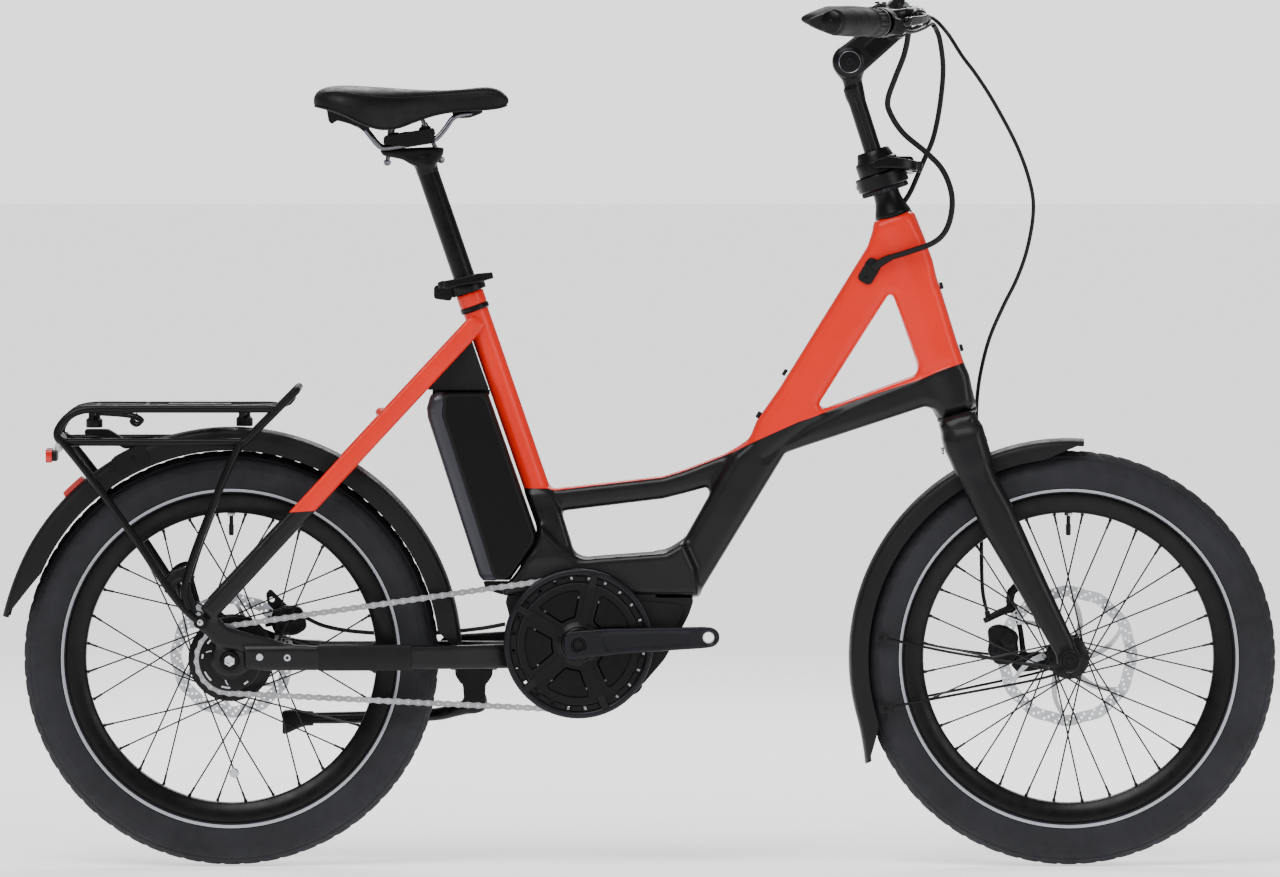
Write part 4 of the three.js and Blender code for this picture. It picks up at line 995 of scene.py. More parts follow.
piece("front_banjo", merge(lathe([(0, 0), (5, 0), (5.6, 1), (5.6, 6), (4.6, 7), (0, 7)], (445, 48, 308),
    (-0.4, 0, 0.92), 24), lathe([(2.6, 6), (3.6, 6.4), (3.6, 13), (2.8, 14)], (445, 48, 308),
    (-0.15, 0, 0.99), 18)), grey_metal, "fork", bevel=0.3)
caliper("rear_caliper_body", [(-474, 308), (-466, 326), (-448, 330), (-430, 320), (-424, 300),
    (-440, 290), (-462, 292)], 45, 66.5, REAR, 54, 83, [(-452, 66.5, 322), (-442, 66.5, 296)], "frame",
    "rear_caliper")
spike = [(-480, 300), (-474, 322), (-478, 344), (-472, 350), (-460, 338), (-448, 326), (-452, 306)]
piece("rear_caliper_bracket", plate(rounded(spike, 5), 56.8, 64, [disc((-470, 336), 3.4, 18)]),
    black_metal, "frame", bevel=1.4, segments=3)
hose = [(-428, 52, 314), (-405, 56, 303), (-370, 55, 296), (-320, 50, 293), (-262, 42, 294),
    (-205, 36, 300), (-172, 32, 306)]
piece("rear_brake_hose", tube(hose, 2.6, 12, 8), hose_black, "frame")

# ---- chain, sprocket and chainring -----------------------------------------------------------
chain_y = -50.0
sprocket_radius, ring_radius = 42.6, 85.0  # to the middle of the chain
LINK_PAIR = 25.4
reach = math.hypot(CRANK[0] - REAR[0], CRANK[1] - REAR[1])
tilt = math.degrees(math.atan2(CRANK[1] - REAR[1], CRANK[0] - REAR[0]))
spread = math.degrees(math.acos((sprocket_radius - ring_radius) / reach))
loop = arc(REAR, sprocket_radius, tilt + spread, tilt + 360 - spread, 60) + arc(CRANK, ring_radius,
    tilt - spread, tilt + spread, 90)
loop = np.array(loop + [loop[0]])
spans = np.concatenate([[0], np.cumsum(np.linalg.norm(np.diff(loop, axis=0), axis=1))])
links = 2 * round(spans[-1] / LINK_PAIR)
pins = np.stack([np.interp(np.linspace(0, spans[-1], links + 1)[:-1], spans, loop[:, i]) for i in (0,
    1)], 1)
plates_out, plates_in, rollers = [], [], []
for i in range(links):
    a, b = pins[i], pins[(i + 1) % links]
    d = (b - a) / np.linalg.norm(b - a)
    heading = math.degrees(math.atan2(d[1], d[0]))
    waist = (a + b) / 2
    side = np.array([-d[1], d[0]]) * 2.7
    outline = (arc(a, 4.1, heading + 62, heading + 298, 7) + [tuple(waist - side)]
               + arc(b, 4.1, heading - 118, heading + 118, 7) + [tuple(waist + side)])
    near, far = (2.7, 3.6) if i % 2 else (1.6, 2.5)
    target = plates_out if i % 2 else plates_in
    target += [plate(outline, chain_y - far, chain_y - near),
        plate(outline, chain_y + near, chain_y + far)]
    rollers.append(lathe([(0, -3.95), (1.5, -3.95), (1.7, -3.6), (1.7, 3.6), (1.5, 3.95), (0, 3.95)],
        beside(a, chain_y), ACROSS, 8))
    rollers.append(lathe([(1.6, -1.6), (3.7, -1.6), (3.7, 1.6), (1.6, 1.6)], beside(a, chain_y), ACROSS,
        10, True))
piece("chain_plates", merge(*plates_out, *plates_in), chain_steel, "frame", "chain")
piece("chain_rollers", merge(*rollers), bright, "frame")


def toothed(centre, teeth, root, tip, inner, low, high, windows=()):
    outline = []
    for i in range(teeth):
        a = 360 * i / teeth
        step = 360 / teeth
        for da, r in ((-0.5, root), (-0.3, root + 0.6), (-0.13, tip), (0.13, tip), (0.3, root + 0.6)):
            outline.append(on_circle(centre, r, a + da * step))
    return plate(outline, low, high, [disc(centre, inner, 48), *windows])


cut_outs = [disc(on_circle(REAR, 28.5, 60 * k), 4.6, 14) for k in range(6)]
piece("sprocket_teeth", toothed(REAR, 21, 34.6, 38.2, 12.6, -51.2, -48.8, cut_outs), chain_steel,
    "rear_sprocket", "rear_sprocket", bevel=0.25, segments=1)
joint_disc = [(12.4, -60), (21, -60), (23, -59), (25, -57.6), (36, -57.2), (39.2, -56.4), (39.8, -55.2),
    (39.2, -54.2), (33, -54), (32, -52.6), (32, -45.4), (30, -45), (12.4, -45)]
piece("sprocket_carrier", lathe(joint_disc, beside(REAR, 0), ACROSS, 64, True), black_metal,
    "rear_sprocket", angle=30)
slits = [plate([*arc(REAR, 36.4, a, a + w, 4), *arc(REAR, 34.2, a + w, a, 4)], -58.2, -56.6) for a,
    w in ((128, 16), (168, 9), (205, 22), (252, 18), (300, 10), (20, 14), (70, 12))]
slits += [plate(star(REAR, 26, 32, 7, 8, 1.6, 1.6)[k], -58.2, -56.9) for k in (0, 2, 3, 5)]
piece("sprocket_marks", merge(*slits), steel, "rear_sprocket")

piece("chainring_teeth", toothed(CRANK, 42, 76.4, 80.4, 57, -51.2, -48.8), chain_steel, "crank",
    "chainring", bevel=0.25, segments=1)
guard = [(86.6, -60), (87.4, -62), (90, -63), (93.6, -62.4), (95, -60.6), (95, -56), (93.6, -54.4),
    (87.6, -54.4), (86.6, -55.4)]
piece("guard_rim", lathe(guard, beside(CRANK, 0), ACROSS, 144, True), grey_metal, "crank", angle=50)
slots = [[*arc(CRANK, 80.6, a - 1.1, a + 1.1, 1), *arc(CRANK, 85.2, a + 1.1, a - 1.1, 1)]
    for a in range(6, 366, 15)]
piece("guard_plate", plate(disc(CRANK, 87, 120), -57.4, -55, [disc(CRANK, 60, 72), *slots]), plastic,
    "crank")
ribs = []
for k in range(24):
    if k % 8 == 3:
        continue
    a = 15 * k + 13.5
    cells = [arc(CRANK, 79.4, a - 4.4, a + 4.4, 4), arc(CRANK, 85.4, a + 4.6, a - 4.6, 4)]
    ribs.append(plate([*cells[0], *cells[1]], -60.4, -57.2))
piece("guard_ribs", merge(*ribs), black_metal, "crank", bevel=0.7)
piece("guard_inner_ring", lathe([(74.6, -61), (75.6, -61.8), (77.6, -61.6), (78.4, -60.4), (78.4, -57),
    (74.6, -57)], beside(CRANK, 0), ACROSS, 120, True), grey_metal, "crank", angle=45)
tabs = []
for k in range(5):
    a = 72 * k + 77
    tabs.append(plate(rounded([*arc(CRANK, 72, a - 4, a + 4, 1),
        *arc(CRANK, 89.6, a + 2.6, a - 2.6, 1)], 2), -64.4, -60.2))
piece("guard_tabs", merge(*tabs), plastic, "crank", bevel=0.9)
spider_holes = []
for k in range(5):
    a = 72 * k + 77 + 36
    spider_holes.append(rounded([*arc(CRANK, 33, a - 16, a + 16, 3),
        *arc(CRANK, 69, a + 25.5, a - 25.5, 5)], 7, 3))
piece("spider", plate(disc(CRANK, 75.4, 72), -62, -57.6, spider_holes), black_metal, "crank", bevel=1.2,
    segments=3)
domes = []
for k in range(5):
    a = 72 * k + 77 + 36
    outline = rounded([*arc(CRANK, 35, a - 14, a + 14, 3), *arc(CRANK, 67, a + 23.5, a - 23.5, 5)], 7,
        3)
    domes.append(plate(outline, -59.4, -57.2))
piece("spider_inlays", merge(*domes), gloss, "crank", bevel=1.6, segments=4)
arm_ridges = [plate(rounded([*arc(CRANK, 22, 72 * k + 77 - 13, 72 * k + 77 + 13, 2),
    *arc(CRANK, 73, 72 * k + 77 + 5, 72 * k + 77 - 5, 2)], 3), -63.6, -61.8) for k in range(5)]
piece("spider_ridges", merge(*arm_ridges), black_metal, "crank", bevel=1.0, segments=3)
piece("spider_boss", lathe([(12.4, -70.8), (19, -70.8), (20.6, -69.6), (22, -65), (26, -62.8),
    (29, -61.8), (12.4, -61.8)], beside(CRANK, 0), ACROSS, 64, True), black_metal, "crank", angle=30)
piece("crank_spindle", lathe([(0, -71.5), (11, -71.5), (11.9, -70.6), (11.9, 70.6), (11, 71.5),
    (0, 71.5)], beside(CRANK, 0), ACROSS, 40), grey_metal, "crank", "crank_axle")
for side, label in SIDES:
    angle = 3.2 + (0 if side < 0 else 180)
    eye = on_circle(CRANK, 165, angle)
    u = np.array([math.cos(math.radians(angle)), math.sin(math.radians(angle))])
    w = np.array([-u[1], u[0]])
    c, e = np.array(CRANK), np.array(eye)
    grid = Field((min(c[0], e[0]) - 24, 70 if side > 0 else -88, min(c[1], e[1]) - 24),
                 (max(c[0], e[0]) + 24, 88 if side > 0 else -70, max(c[1], e[1]) + 24), 1.0)
    outline = [tuple(c + u * a + w * b) for a, b in ((-17.5, 13), (-17.5, -13), (-12, -18), (10, -17.4),
        (60, -14.2), (160, -13.4), (172, -12), (179, -5), (179, 5), (172, 12), (160, 13.6), (38, 18.4),
        (22, 18.2), (-12, 17.6))]
    grid.add(grid.slab(rounded(outline, 7), 7, 2.4, middle=side * 79))
    recess = [tuple(c + u * a + w * b) for a, b in ((30, 12), (34, -9.5), (138, -8), (142, 8.6),
        (46, 12.6))]
    grid.cut(grid.slab(rounded(recess, 5), 1.0, 0.6, middle=side * 86.2), 1.0)
    grid.cut(grid.cylinder(beside(eye, -99), beside(eye, 99), 6.9, 0.2))
    grid.cut(grid.cylinder(beside(eye, side * 84.6), beside(eye, side * 90), 9.6, 0.2))
    grid.cut(grid.cylinder(beside(c, side * 83.6), beside(c, side * 90), 9.4, 0.3))
    piece("crank_arm_" + label + "_forged", grid.shape(), grey_metal, "crank", "crank_arm_" + label,
        angle=40, relax=1)
    piece("crank_bolt_" + label, merge(bolt(beside(c, side * 81.5), (0, side, 0), 6.8, 3.6, 0.56),
        lathe([(7.4, 0), (8.8, 0), (8.8, 2.6), (7.8, 2.6)], beside(c, side * 82.5), (0, side, 0), 40,
        True)), black_metal, "crank")
    piece("pedal_thread_" + label, lathe([(6.3, 73.4), (7.3, 73.4), (7.3, 84.7), (6.3, 84.7)],
        beside(eye, 0), (0, side, 0), 32, True), bright, "crank")

# ---- battery ---------------------------------------------------------------------------------
pack = [(-194, 603), (-131, 421), (-133, 411), (-165, 365), (-199, 365), (-204, 371), (-269, 572),
    (-270, 584), (-266, 598), (-258, 603.5)]
cell = Field((-276, -44, 360), (-126, 44, 609), 1.6)
cell.add(cell.slab(pack, 39.5, 12))
for side in (-1, 1):
    panel = [(-203, 594), (-143, 421), (-144, 413), (-170, 377), (-187, 377), (-245, 572), (-243, 586),
        (-235, 594)]
    cell.cut(cell.slab(rounded(panel, 7), 1.6, 0.8, middle=side * 40.4), 1)
    groove = [(-251, 603), (-252, 574), (-189, 372), (-186, 364)]
    cell.cut(cell.tube([(x, side * 40.2, z) for x, z in groove], [1.5] * 4))
cell.cut(cell.slab([(-290, 601), (-255, 601), (-255, 599.4), (-290, 599.4)], 60, 0.2))
band_area = [(-280, 612), (-249, 612), (-251, 574), (-183.5, 371), (-181, 358), (-210, 358),
    (-280, 560)]
grown = [(-194, 603), (-133, 411), (-166, 364.4), (-199.5, 364.4), (-204.8, 370.8), (-269.8, 572),
    (-270.8, 584.2), (-266.6, 598.6), (-258, 604.1)]
band = Field((-277, -44, 360), (-176, 44, 609), 1.4)
band.add(np.maximum(band.slab(grown, 40.2, 12), band.flat(band_area)))
band.cut(band.slab([(-290, 602), (-262, 602), (-262, 600.4), (-290, 600.4)], 60, 0.2))
piece("battery_back_band", band.shape(), band_grey, "battery", angle=50, relax=1)
piece("battery_case", cell.shape(), plastic, "battery", "battery", angle=50, relax=1)
flank = rounded([(-197, 601), (-135, 421), (-137, 412), (-168, 367.5), (-186, 367), (-250.6, 573),
    (-249.5, 597), (-244, 601)], 7)
for side, label in SIDES:
    low, high = sorted((side * 37.5, side * 40.2))
    piece("battery_flank_" + label, plate(flank, low, high), plastic, "battery", bevel=1.2, segments=3)
    low, high = sorted((side * 39.5, side * 41.2))
    panel = rounded([(-199, 599), (-137.5, 421), (-139, 412), (-169, 371), (-182.5, 371), (-246.5, 574),
        (-245.5, 599)], 5)
    piece("battery_panel_" + label, plate(panel, low, high), gloss, "battery",
        bevel=0.9, segments=3)
leds = [plate(rounded([(x, 0), (x + 3, 0), (x + 3, 8), (x, 8)], 1), -0.4, 0.7,
    origin=(-262, -12, 585.5), x=ACROSS, z=(0.3, 0, 0.95)) for x in (0, 5, 10, 15, 20)]
piece("charge_lights", merge(*leds), stripe_grey, "battery")
lock = rounded([(-269, 606.6), (-269, 612), (-241, 646), (-215.5, 673), (-204.5, 640), (-192.5, 606.6)],
    1)
piece("battery_dock_top", merge(plate(lock, -21, 21)), plastic, "frame", "battery_lock", bevel=2.5,
    segments=4)
ridge = rounded([(-264, 600), (-264, 606), (-191, 606), (-191, 600)], 1)
piece("battery_top_ridge", plate(ridge, -8, 8), plastic, "battery", bevel=0.5)
piece("lock_barrel", merge(lathe([(0, 0), (7.4, 0), (7.4, 2.2), (6.4, 3), (5.6, 3), (5.4, 2.2),
    (0, 2.2)], (-219, 21, 632), ACROSS, 32), plate([(-219.8, 628), (-218.2, 628), (-218.2, 636),
    (-219.8, 636)], 23.1, 23.6)), bright, "frame")
piece("battery_dock_foot", plate(rounded([(-200, 362.5), (-165, 362.5), (-150, 352), (-150, 342),
    (-178, 346), (-196, 352)], 4), -5.5, 5.5), plastic, "frame", bevel=2)

# ---- mudguards -------------------------------------------------------------------------------
def mudguard(name, centre, radius, start, end, node, body_name, thin_start, thin_end, deep,
        flare_end=0.0):
    rows = []
    angles = np.linspace(start, end, 130)
    for a in angles:
        near, far = a - start, end - a
        share = min(1.0, (near / thin_start) ** 0.8 if thin_start else 1.0,
            (far / thin_end) ** 0.8 if thin_end else 1.0)
        depth = 2.2 + deep * share
        lift = flare_end * max(0.0, 1 - far / 12) ** 2
        half = 35.6 - 7 * (1 - share) ** 2
        r = radius + lift
        outside = [(-depth - 2.0, half), (-depth * 0.5 - 3, half), (-7.0, half - 0.4),
            (-4.4, half - 2.0), (-2.2, half - 6), (-0.9, half - 13), (-0.2, half - 24)]
        inside = [(h - 2.1, max(0.0, w - 1.2)) for h, w in outside[2:]]
        inside = [(-depth - 2.0, half - 2.1), (-depth * 0.5 - 3, half - 2.1), *inside]
        loop_points = [*outside, *[(h, -w) for h, w in outside[::-1]], *[(h, -w) for h, w in inside],
            *inside[::-1]]
        ca, sa = math.cos(math.radians(a)), math.sin(math.radians(a))
        rows.append([(centre[0] + (r + h) * ca, w, centre[1] + (r + h) * sa) for h, w in loop_points])
    piece(name, skin(rows), plastic, body_name, node, angle=40)


mudguard("rear_mudguard_shell", REAR, 294, 2.5, 169.5, "rear_mudguard", "frame", 5, 13, 24.5,
    flare_end=2)
mudguard("front_mudguard_shell", FRONT, 279.6, 86, 207.5, "front_mudguard", "fork", 11, 8, 20.5,
    flare_end=12)
for side, label in SIDES:
    wires = [
        [(536, side * 74, 251), (500, side * 66, 240), (400, side * 45, 220), (312, side * 37.2, 203)],
        [(530, side * 74, 257), (480, side * 62, 262), (395, side * 45, 274), (305, side * 37.2, 293)],
    ]
    piece("front_guard_stay_" + label, merge(*[tube(w, 1.7, 10) for w in wires]), black_metal, "fork")
    clips = [plate(rounded([(305, 196), (322, 199), (320, 208), (303, 206)], 2),
        *sorted((side * 35.6, side * 39.4))), plate(rounded([(298, 289), (314, 286), (316, 295),
        (300, 298)], 2), *sorted((side * 35.6, side * 39.4))),
        plate(rounded([(524, 248), (540, 244), (541, 256), (526, 262)], 3),
        *sorted((side * 72.5, side * 76)))]
    piece("front_guard_clips_" + label, merge(*clips), plastic, "fork", bevel=0.7)
    piece("front_guard_bolts_" + label, merge(*[bolt((x, side * 39.2, z), (0, side, 0), 2.4, 1.5) for x,
        z in ((312, 202), (306, 292))], bolt((532, side * 75.8, 253), (0, side, 0), 3, 1.8)),
        black_metal, "fork")
piece("rear_reflector", plate([*arc(REAR, 299.8, 129.6, 135.4, 5), *arc(REAR, 293, 135.8, 129.2, 5)],
    -20, 20), red_lens, "frame", bevel=1.0)
bracket = [*arc(REAR, 295.6, 112, 121, 4), *arc(REAR, 272, 121, 112, 4)]
for side in (-1, 1):
    piece("rear_guard_bracket_" + ("right" if side < 0 else "left"),
        merge(plate(rounded(bracket, 3), *sorted((side * 35.7, side * 38.6))),
        bolt((on_circle(REAR, 284, 116)[0], side * 38.4, on_circle(REAR, 284, 116)[1]), (0, side, 0),
        3.2, 2)), black_metal, "frame", bevel=0.5)
piece("crown_guard_bracket", merge(plate(rounded([(412, 494), (436, 494), (440, 508), (430, 540),
    (418, 540), (410, 508)], 3), -9, 9)), black_metal, "fork", bevel=1)

# ---- rack ------------------------------------------------------------------------------------
half_rack, top_z, low_z = 66, 584, 542
parts = []
for side in (-1, 1):
    y = side * half_rack
    rail = [(-462, y, 581.5), (-470, y, 584), (-520, y, top_z), (-640, y, top_z), (-690, y, top_z),
        (-712, y, 581), (-728, y, 571), (-738, y, 556), (-737, y, 546), (-728, y, low_z),
        (-712, y, low_z), (-640, y, low_z), (-505, y, low_z)]
    parts.append(tube(rail, 5, 16, 5))
    parts.append(tube([(-512, y, 536), (-500, y, 543), (-480, y, 563), (-457, y, 586), (-435, y, 608)],
        5, 16, 5))
    parts.append(lathe([(5, -4), (5, 0), (4.4, 2.2), (3, 3.6), (0, 4)], (-435.4, y, 607.4),
        (0.7, 0, 0.72), 16))
parts.append(tube([(-435, -half_rack, 608), (-435, -20, 609), (-435, 20, 609), (-435, half_rack, 608)],
    4.6, 14))
parts += [rod((x, -half_rack, z), (x, half_rack, z), 4.2, 14) for x,
    z in ((-733, 566), (-545, top_z - 0.5), (-628, top_z - 0.5), (-690, top_z - 1))]
for y in (-22, 22):
    parts.append(tube([(-732, y, 568), (-714, y, 581), (-690, y, 584.5), (-470, y, 584.5),
        (-436, y, 608)], 3.2, 12))
piece("rack_tubes", merge(*parts), black_metal, "frame", "rack_deck", angle=45)
deck = rounded([(-600, -22), (-520, -22), (-520, 22), (-600, 22)], 6)
piece("rack_plate", plate(deck, -588.6, -584.6, [disc((-585, 0), 5, 24), disc((-535, 0), 5, 24)],
    x=(1, 0, 0), z=ACROSS), black_metal, "frame", bevel=0.8)
posts = []
for x, low_end in ((-694, 558), (-503, 560)):
    posts += [lathe([(0, 0), (10, 0), (10.6, 1), (10.6, 10), (8, 12), (7.4, 13), (7.4, 24)],
        (x, 0, low_end), (0, 0, 1), 28)]
    posts += [rod((x, -64, 578), (x, 64, 578), 3.6, 12)]
piece("rack_posts", merge(*posts), plastic, "frame", angle=40)
guard_link = [rounded([(-706, 556), (-676, 556), (-650, 540), (-612, 545), (-612, 538), (-655, 531),
    (-684, 548), (-706, 549)], 3)]
piece("rack_guard_link", plate(guard_link[0], -12, 12), black_metal, "frame", bevel=0.8)
clip = [(-700, -30, 577), (-676, -30, 576), (-652, -30, 574), (-640, -30, 571), (-634, -30, 566),
    (-640, -30, 562), (-646, -30, 567), (-640, -30, 574)]
piece("rack_spring_clip", merge(tube(clip, 2.4, 12), mirror(tube(clip, 2.4, 12))), black_metal, "frame")
for side, label in SIDES:
    top, foot = half_rack + 9.6, 80.4

    def place(points):
        return [(x, side * y, z) for x, y, z in points]

    legs = [tube(place([(-733, top - 4, 544), (-700, top, 503), (-640, foot - 1, 421),
        (-597, foot, 356), (-574, foot, 328), (-557, foot, 314)]), 5, 16, 4),
        tube(place([(-508, top - 4, 538), (-528, top, 494), (-556, foot - 1, 424), (-572, foot, 378),
        (-577, foot, 350), (-571, foot, 330)]), 5, 16, 4), lathe([(0, -3.4), (8, -3.4), (8.6, -2.6),
        (8.6, 2.6), (8, 3.4), (0, 3.4)], (-557, side * foot, 314), ACROSS, 28)]
    web = rounded([(-603, 360), (-590, 376), (-574, 378), (-569, 356), (-560, 324), (-576, 330)], 4)
    tear = [(x, z) for x, z in arc((-581, 358), 6.6, 0, 180, 10)] + [(-583, 341)]
    legs.append(plate(web, *sorted((side * (foot - 2), side * (foot + 2))), [tear]))
    legs.append(tube(place([(-604, foot, 362), (-592, foot, 376), (-578, foot, 381),
        (-568, foot, 376)]), 3.2, 12))
    legs.append(tube(place([(-601, foot, 352), (-591, foot, 364), (-580, foot, 369),
        (-570, foot, 362)]), 2.6, 12))
    piece("rack_leg_" + label + "_tubes", merge(*legs), black_metal, "frame", "rack_leg_" + label,
        angle=45)
    heads = [bolt((-733, side * (top - 4 + 4.6), 546), (0, side, 0), 3.6, 2),
        bolt((-508, side * (top - 4 + 4.6), 540), (0, side, 0), 3.6, 2)]
    piece("rack_bolts_" + label, merge(*heads), black_metal, "frame")
    heads = [bolt((-557, side * (foot + 3.2), 314), (0, side, 0), 4.0, 2.2),
        bolt((-482, side * 78.2, 270), (0, side, 0), 4.6, 2.4),
        bolt((-447, side * 76.6, 269), (0, side, 0), 4.6, 2.6)]
    piece("rear_bolts_" + label, merge(*heads), bright, "frame")

lens = rounded([(-30, 514), (30, 514), (30, 531), (-30, 531)], 5)
piece("rear_lamp_lens", plate(lens, -4, 4, origin=(-751, 0, 0), x=ACROSS, z=(0, 0, 1)), red_lens,
    "frame", "rear_light", bevel=1.6, segments=3)
piece("rear_lamp_back", plate(rounded([(-27, 516), (27, 516), (27, 529), (-27, 529)], 4), -3, 3,
    origin=(-744, 0, 0), x=ACROSS), plastic, "frame", bevel=1)
piece("rear_lamp_bracket", merge(plate(rounded([(-746, 526), (-736, 530), (-729, 545), (-734, 552),
    (-744, 536)], 2), -14, -10), plate(rounded([(-746, 526), (-736, 530), (-729, 545), (-734, 552),
    (-744, 536)], 2), 10, 14), bolt((-739, -14, 531), (0, -1, 0), 4, 3),
    bolt((-739, 14, 531), ACROSS, 4, 3)), bright, "frame", bevel=0.4)

# ---- kickstand -------------------------------------------------------------------------------
mount = rounded([(-236, 254), (-188, 254), (-188, 240), (-196, 228), (-228, 228), (-236, 240)], 4)
cheek = rounded([(-236, 248), (-188, 248), (-197, 228), (-198, 199), (-224, 199), (-226, 228)], 5)
piece("kickstand_bracket", merge(plate(mount, 44, 65), plate(cheek, 38.6, 43.4),
    plate(rounded([(-242, 247), (-182, 247), (-182, 254), (-242, 254)], 2), 40, 68)), black_metal,
    "frame", "kickstand_mount", bevel=1.5, segments=3)
piece("kickstand_bracket_bolts", merge(bolt((-226, 65, 241), ACROSS, 4, 2.6),
    bolt((-198, 65, 241), ACROSS, 4, 2.6), bolt((-212, 55, 228.4), (0, 0, -1), 4.4, 1.6)), bright,
    "frame")
stand_axis = unit((-0.0955, -0.9545, -0.2823))
pivot = np.array([-211, 55, 208])
stand = Field((-462, 40, 158), (-184, 106, 228), 1.3)
stand.add(stand.cylinder(pivot - stand_axis * 9.6, pivot + stand_axis * 9.6, 14, 2))
leg_path = smooth([(-205, 56, 202), (-235, 60, 195), (-265, 74, 188), (-350, 86, 184), (-440, 93, 182)],
    4)
stand.add(stand.tube([tuple(p) for p in leg_path], list(np.linspace(9, 7.4, len(leg_path)))), 8)
for x in (-300, -312, -324):
    stand.cut(stand.slab([(x - 2, 178), (x + 2, 178), (x + 2, 190), (x - 2, 190)], 2, 0.4, middle=73.5))
piece("kickstand_arm", stand.shape(), black_metal, "kickstand", "kickstand_leg", angle=50, relax=1)
foot = [[(-418, 0), 9.4, 8.4], [(-428, 0), 9.8, 9.0], [(-438, -1), 12, 9.6], [(-447, -3), 14.4, 10],
    [(-455, -5), 15.6, 10.2], [(-457.6, -5), 14, 9.6]]
rows = [[(x, 91.6 + w * math.sin(t), 182 + dz + h * math.cos(t)) for t in np.arange(20) * math.pi / 10]
    for (x, dz), h, w in foot]
piece("kickstand_boot", skin(rows), grip_rubber, "kickstand", bevel=0.8)
piece("kickstand_pin", merge(bolt(pivot - stand_axis * 9.6, -stand_axis, 5.4, 2.2),
    bolt(pivot + stand_axis * 9.6, stand_axis, 5.4, 2.2)), bright, "kickstand")

# ---- seat post and saddle --------------------------------------------------------------------
tube_profile = [(0, -130), (12.6, -130), (13.6, -129), (13.6, 168), (12.8, 170.5), (0, 170.5)]
piece("seat_post_tube", lathe(tube_profile, seat_at(0), SEAT_AXIS, 48), black_metal, "seat_post",
    "seat_post")
head = Field((-336, -22, 872), (-240, 22, 926), 1.1)
head.add(head.slab(rounded([(-331, 912), (-327, 904), (-302, 899), (-290, 892), (-264, 888),
    (-257, 896), (-250, 905), (-249, 914), (-262, 915)], 3), 14, 4))
head.add(head.cylinder(seat_at(158), seat_at(180), 14.0, 1), 5)
head.cut(head.cylinder((-312, -40, 926), (-312, 40, 926), 12, 1), 1)
head.cut(head.cylinder((-274, -40, 930), (-274, 40, 930), 13, 1), 1)
piece("seat_post_head", head.shape(), black_metal, "seat_post", angle=50, relax=1)
slot_shape = circle(1.0, 16) * (0.6, 3.4)
slot_ends = [[seat_at(h) + (1.6, s * 13.05, 0) for h in (122, 152)] for s in (-1, 1)]
piece("seat_post_slot", merge(*[sweep(smooth(ends, 2), slot_shape) for ends in slot_ends]),
      gloss, "seat_post")
marks = [lathe([(13.5, 0), (13.75, 0), (13.75, 0.5), (13.5, 0.5)], seat_at(h), SEAT_AXIS, 48, True)
    for h in range(30, 105, 10)]
piece("seat_post_scale", merge(*marks), grey_metal, "seat_post")
yoke = rounded([(-326, 918.5), (-325, 927), (-300, 934), (-266, 934.5), (-260, 928), (-261, 920.5),
    (-292, 915)], 3)
piece("saddle_clamp_top", merge(plate(rounded([(-326, 919.6), (-325, 929), (-262, 939), (-260, 929.5)],
    3), 13, 26.5), plate(rounded([(-326, 919.6), (-325, 929), (-262, 939), (-260, 929.5)], 3), -26.5,
    -13), plate(rounded([(-322, 922), (-308, 922), (-306, 934), (-320, 932)], 3), -15, 15),
    plate(rounded([(-281, 928), (-266, 930), (-266, 942), (-281, 940)], 3), -15, 15)), black_metal,
    "seat_post", bevel=1.2, segments=3)
piece("saddle_clamp_lower", plate(yoke, -26, 26, ), black_metal, "seat_post", bevel=1.2, segments=3)
pins_at = [((-274, 0, 944), (-253, 0, 899)), ((-316, 0, 937), (-321, 0, 896))]
studs = []
for a, b in pins_at:
    a, b = np.array(a, float), np.array(b, float)
    w = unit(b - a)
    studs += [rod(a - w * 6, b + w * 5, 2.8, 16), lathe([(3, 0), (5.4, 0.6), (5.4, 4), (4.6, 5.4),
        (3, 5.4)], b - w * 2, w, 6)]
    studs.append(lathe([(0, 0), (4.6, 0.4), (4.6, 9), (0, 9.4)], a - w * 2 + np.array([0, 0, -1]), w,
        18))
piece("saddle_clamp_bolts", merge(*studs), rail_steel, "seat_post", bevel=0.3)

rail_side = [(-366, 27, 947), (-352, 26.5, 940), (-343, 25, 930), (-334, 23.4, 919), (-326, 22, 914.4),
    (-310, 22, 915.8), (-285, 22, 919.8), (-264, 22, 923.4), (-255, 21, 929), (-246, 19.4, 940),
    (-238, 17, 951), (-228, 13, 956), (-214, 9, 957.4)]
rails = tube(rail_side, 3.5, 14, 5)
piece("saddle_rail_pair", both(rails), rail_steel, "seat_post", "saddle_rails")
rear_mount = rounded([(-398, 966), (-345, 949), (-343, 938), (-352, 935), (-356, 941), (-384, 949),
    (-391, 944), (-395, 948)], 3)
piece("saddle_rail_mount", merge(plate(rear_mount, -34, -20), plate(rear_mount, 20, 34),
    plate(rounded([(-392, 966), (-366, 958), (-366, 950), (-388, 952)], 2), -22, 22)), plastic,
    "seat_post", bevel=1.6, segments=3)
piece("saddle_nose_mount", plate(rounded([(-240, 962), (-200, 964), (-200, 958), (-216, 952),
    (-236, 951)], 3), -12, 12), plastic, "seat_post", bevel=1.6, segments=3)

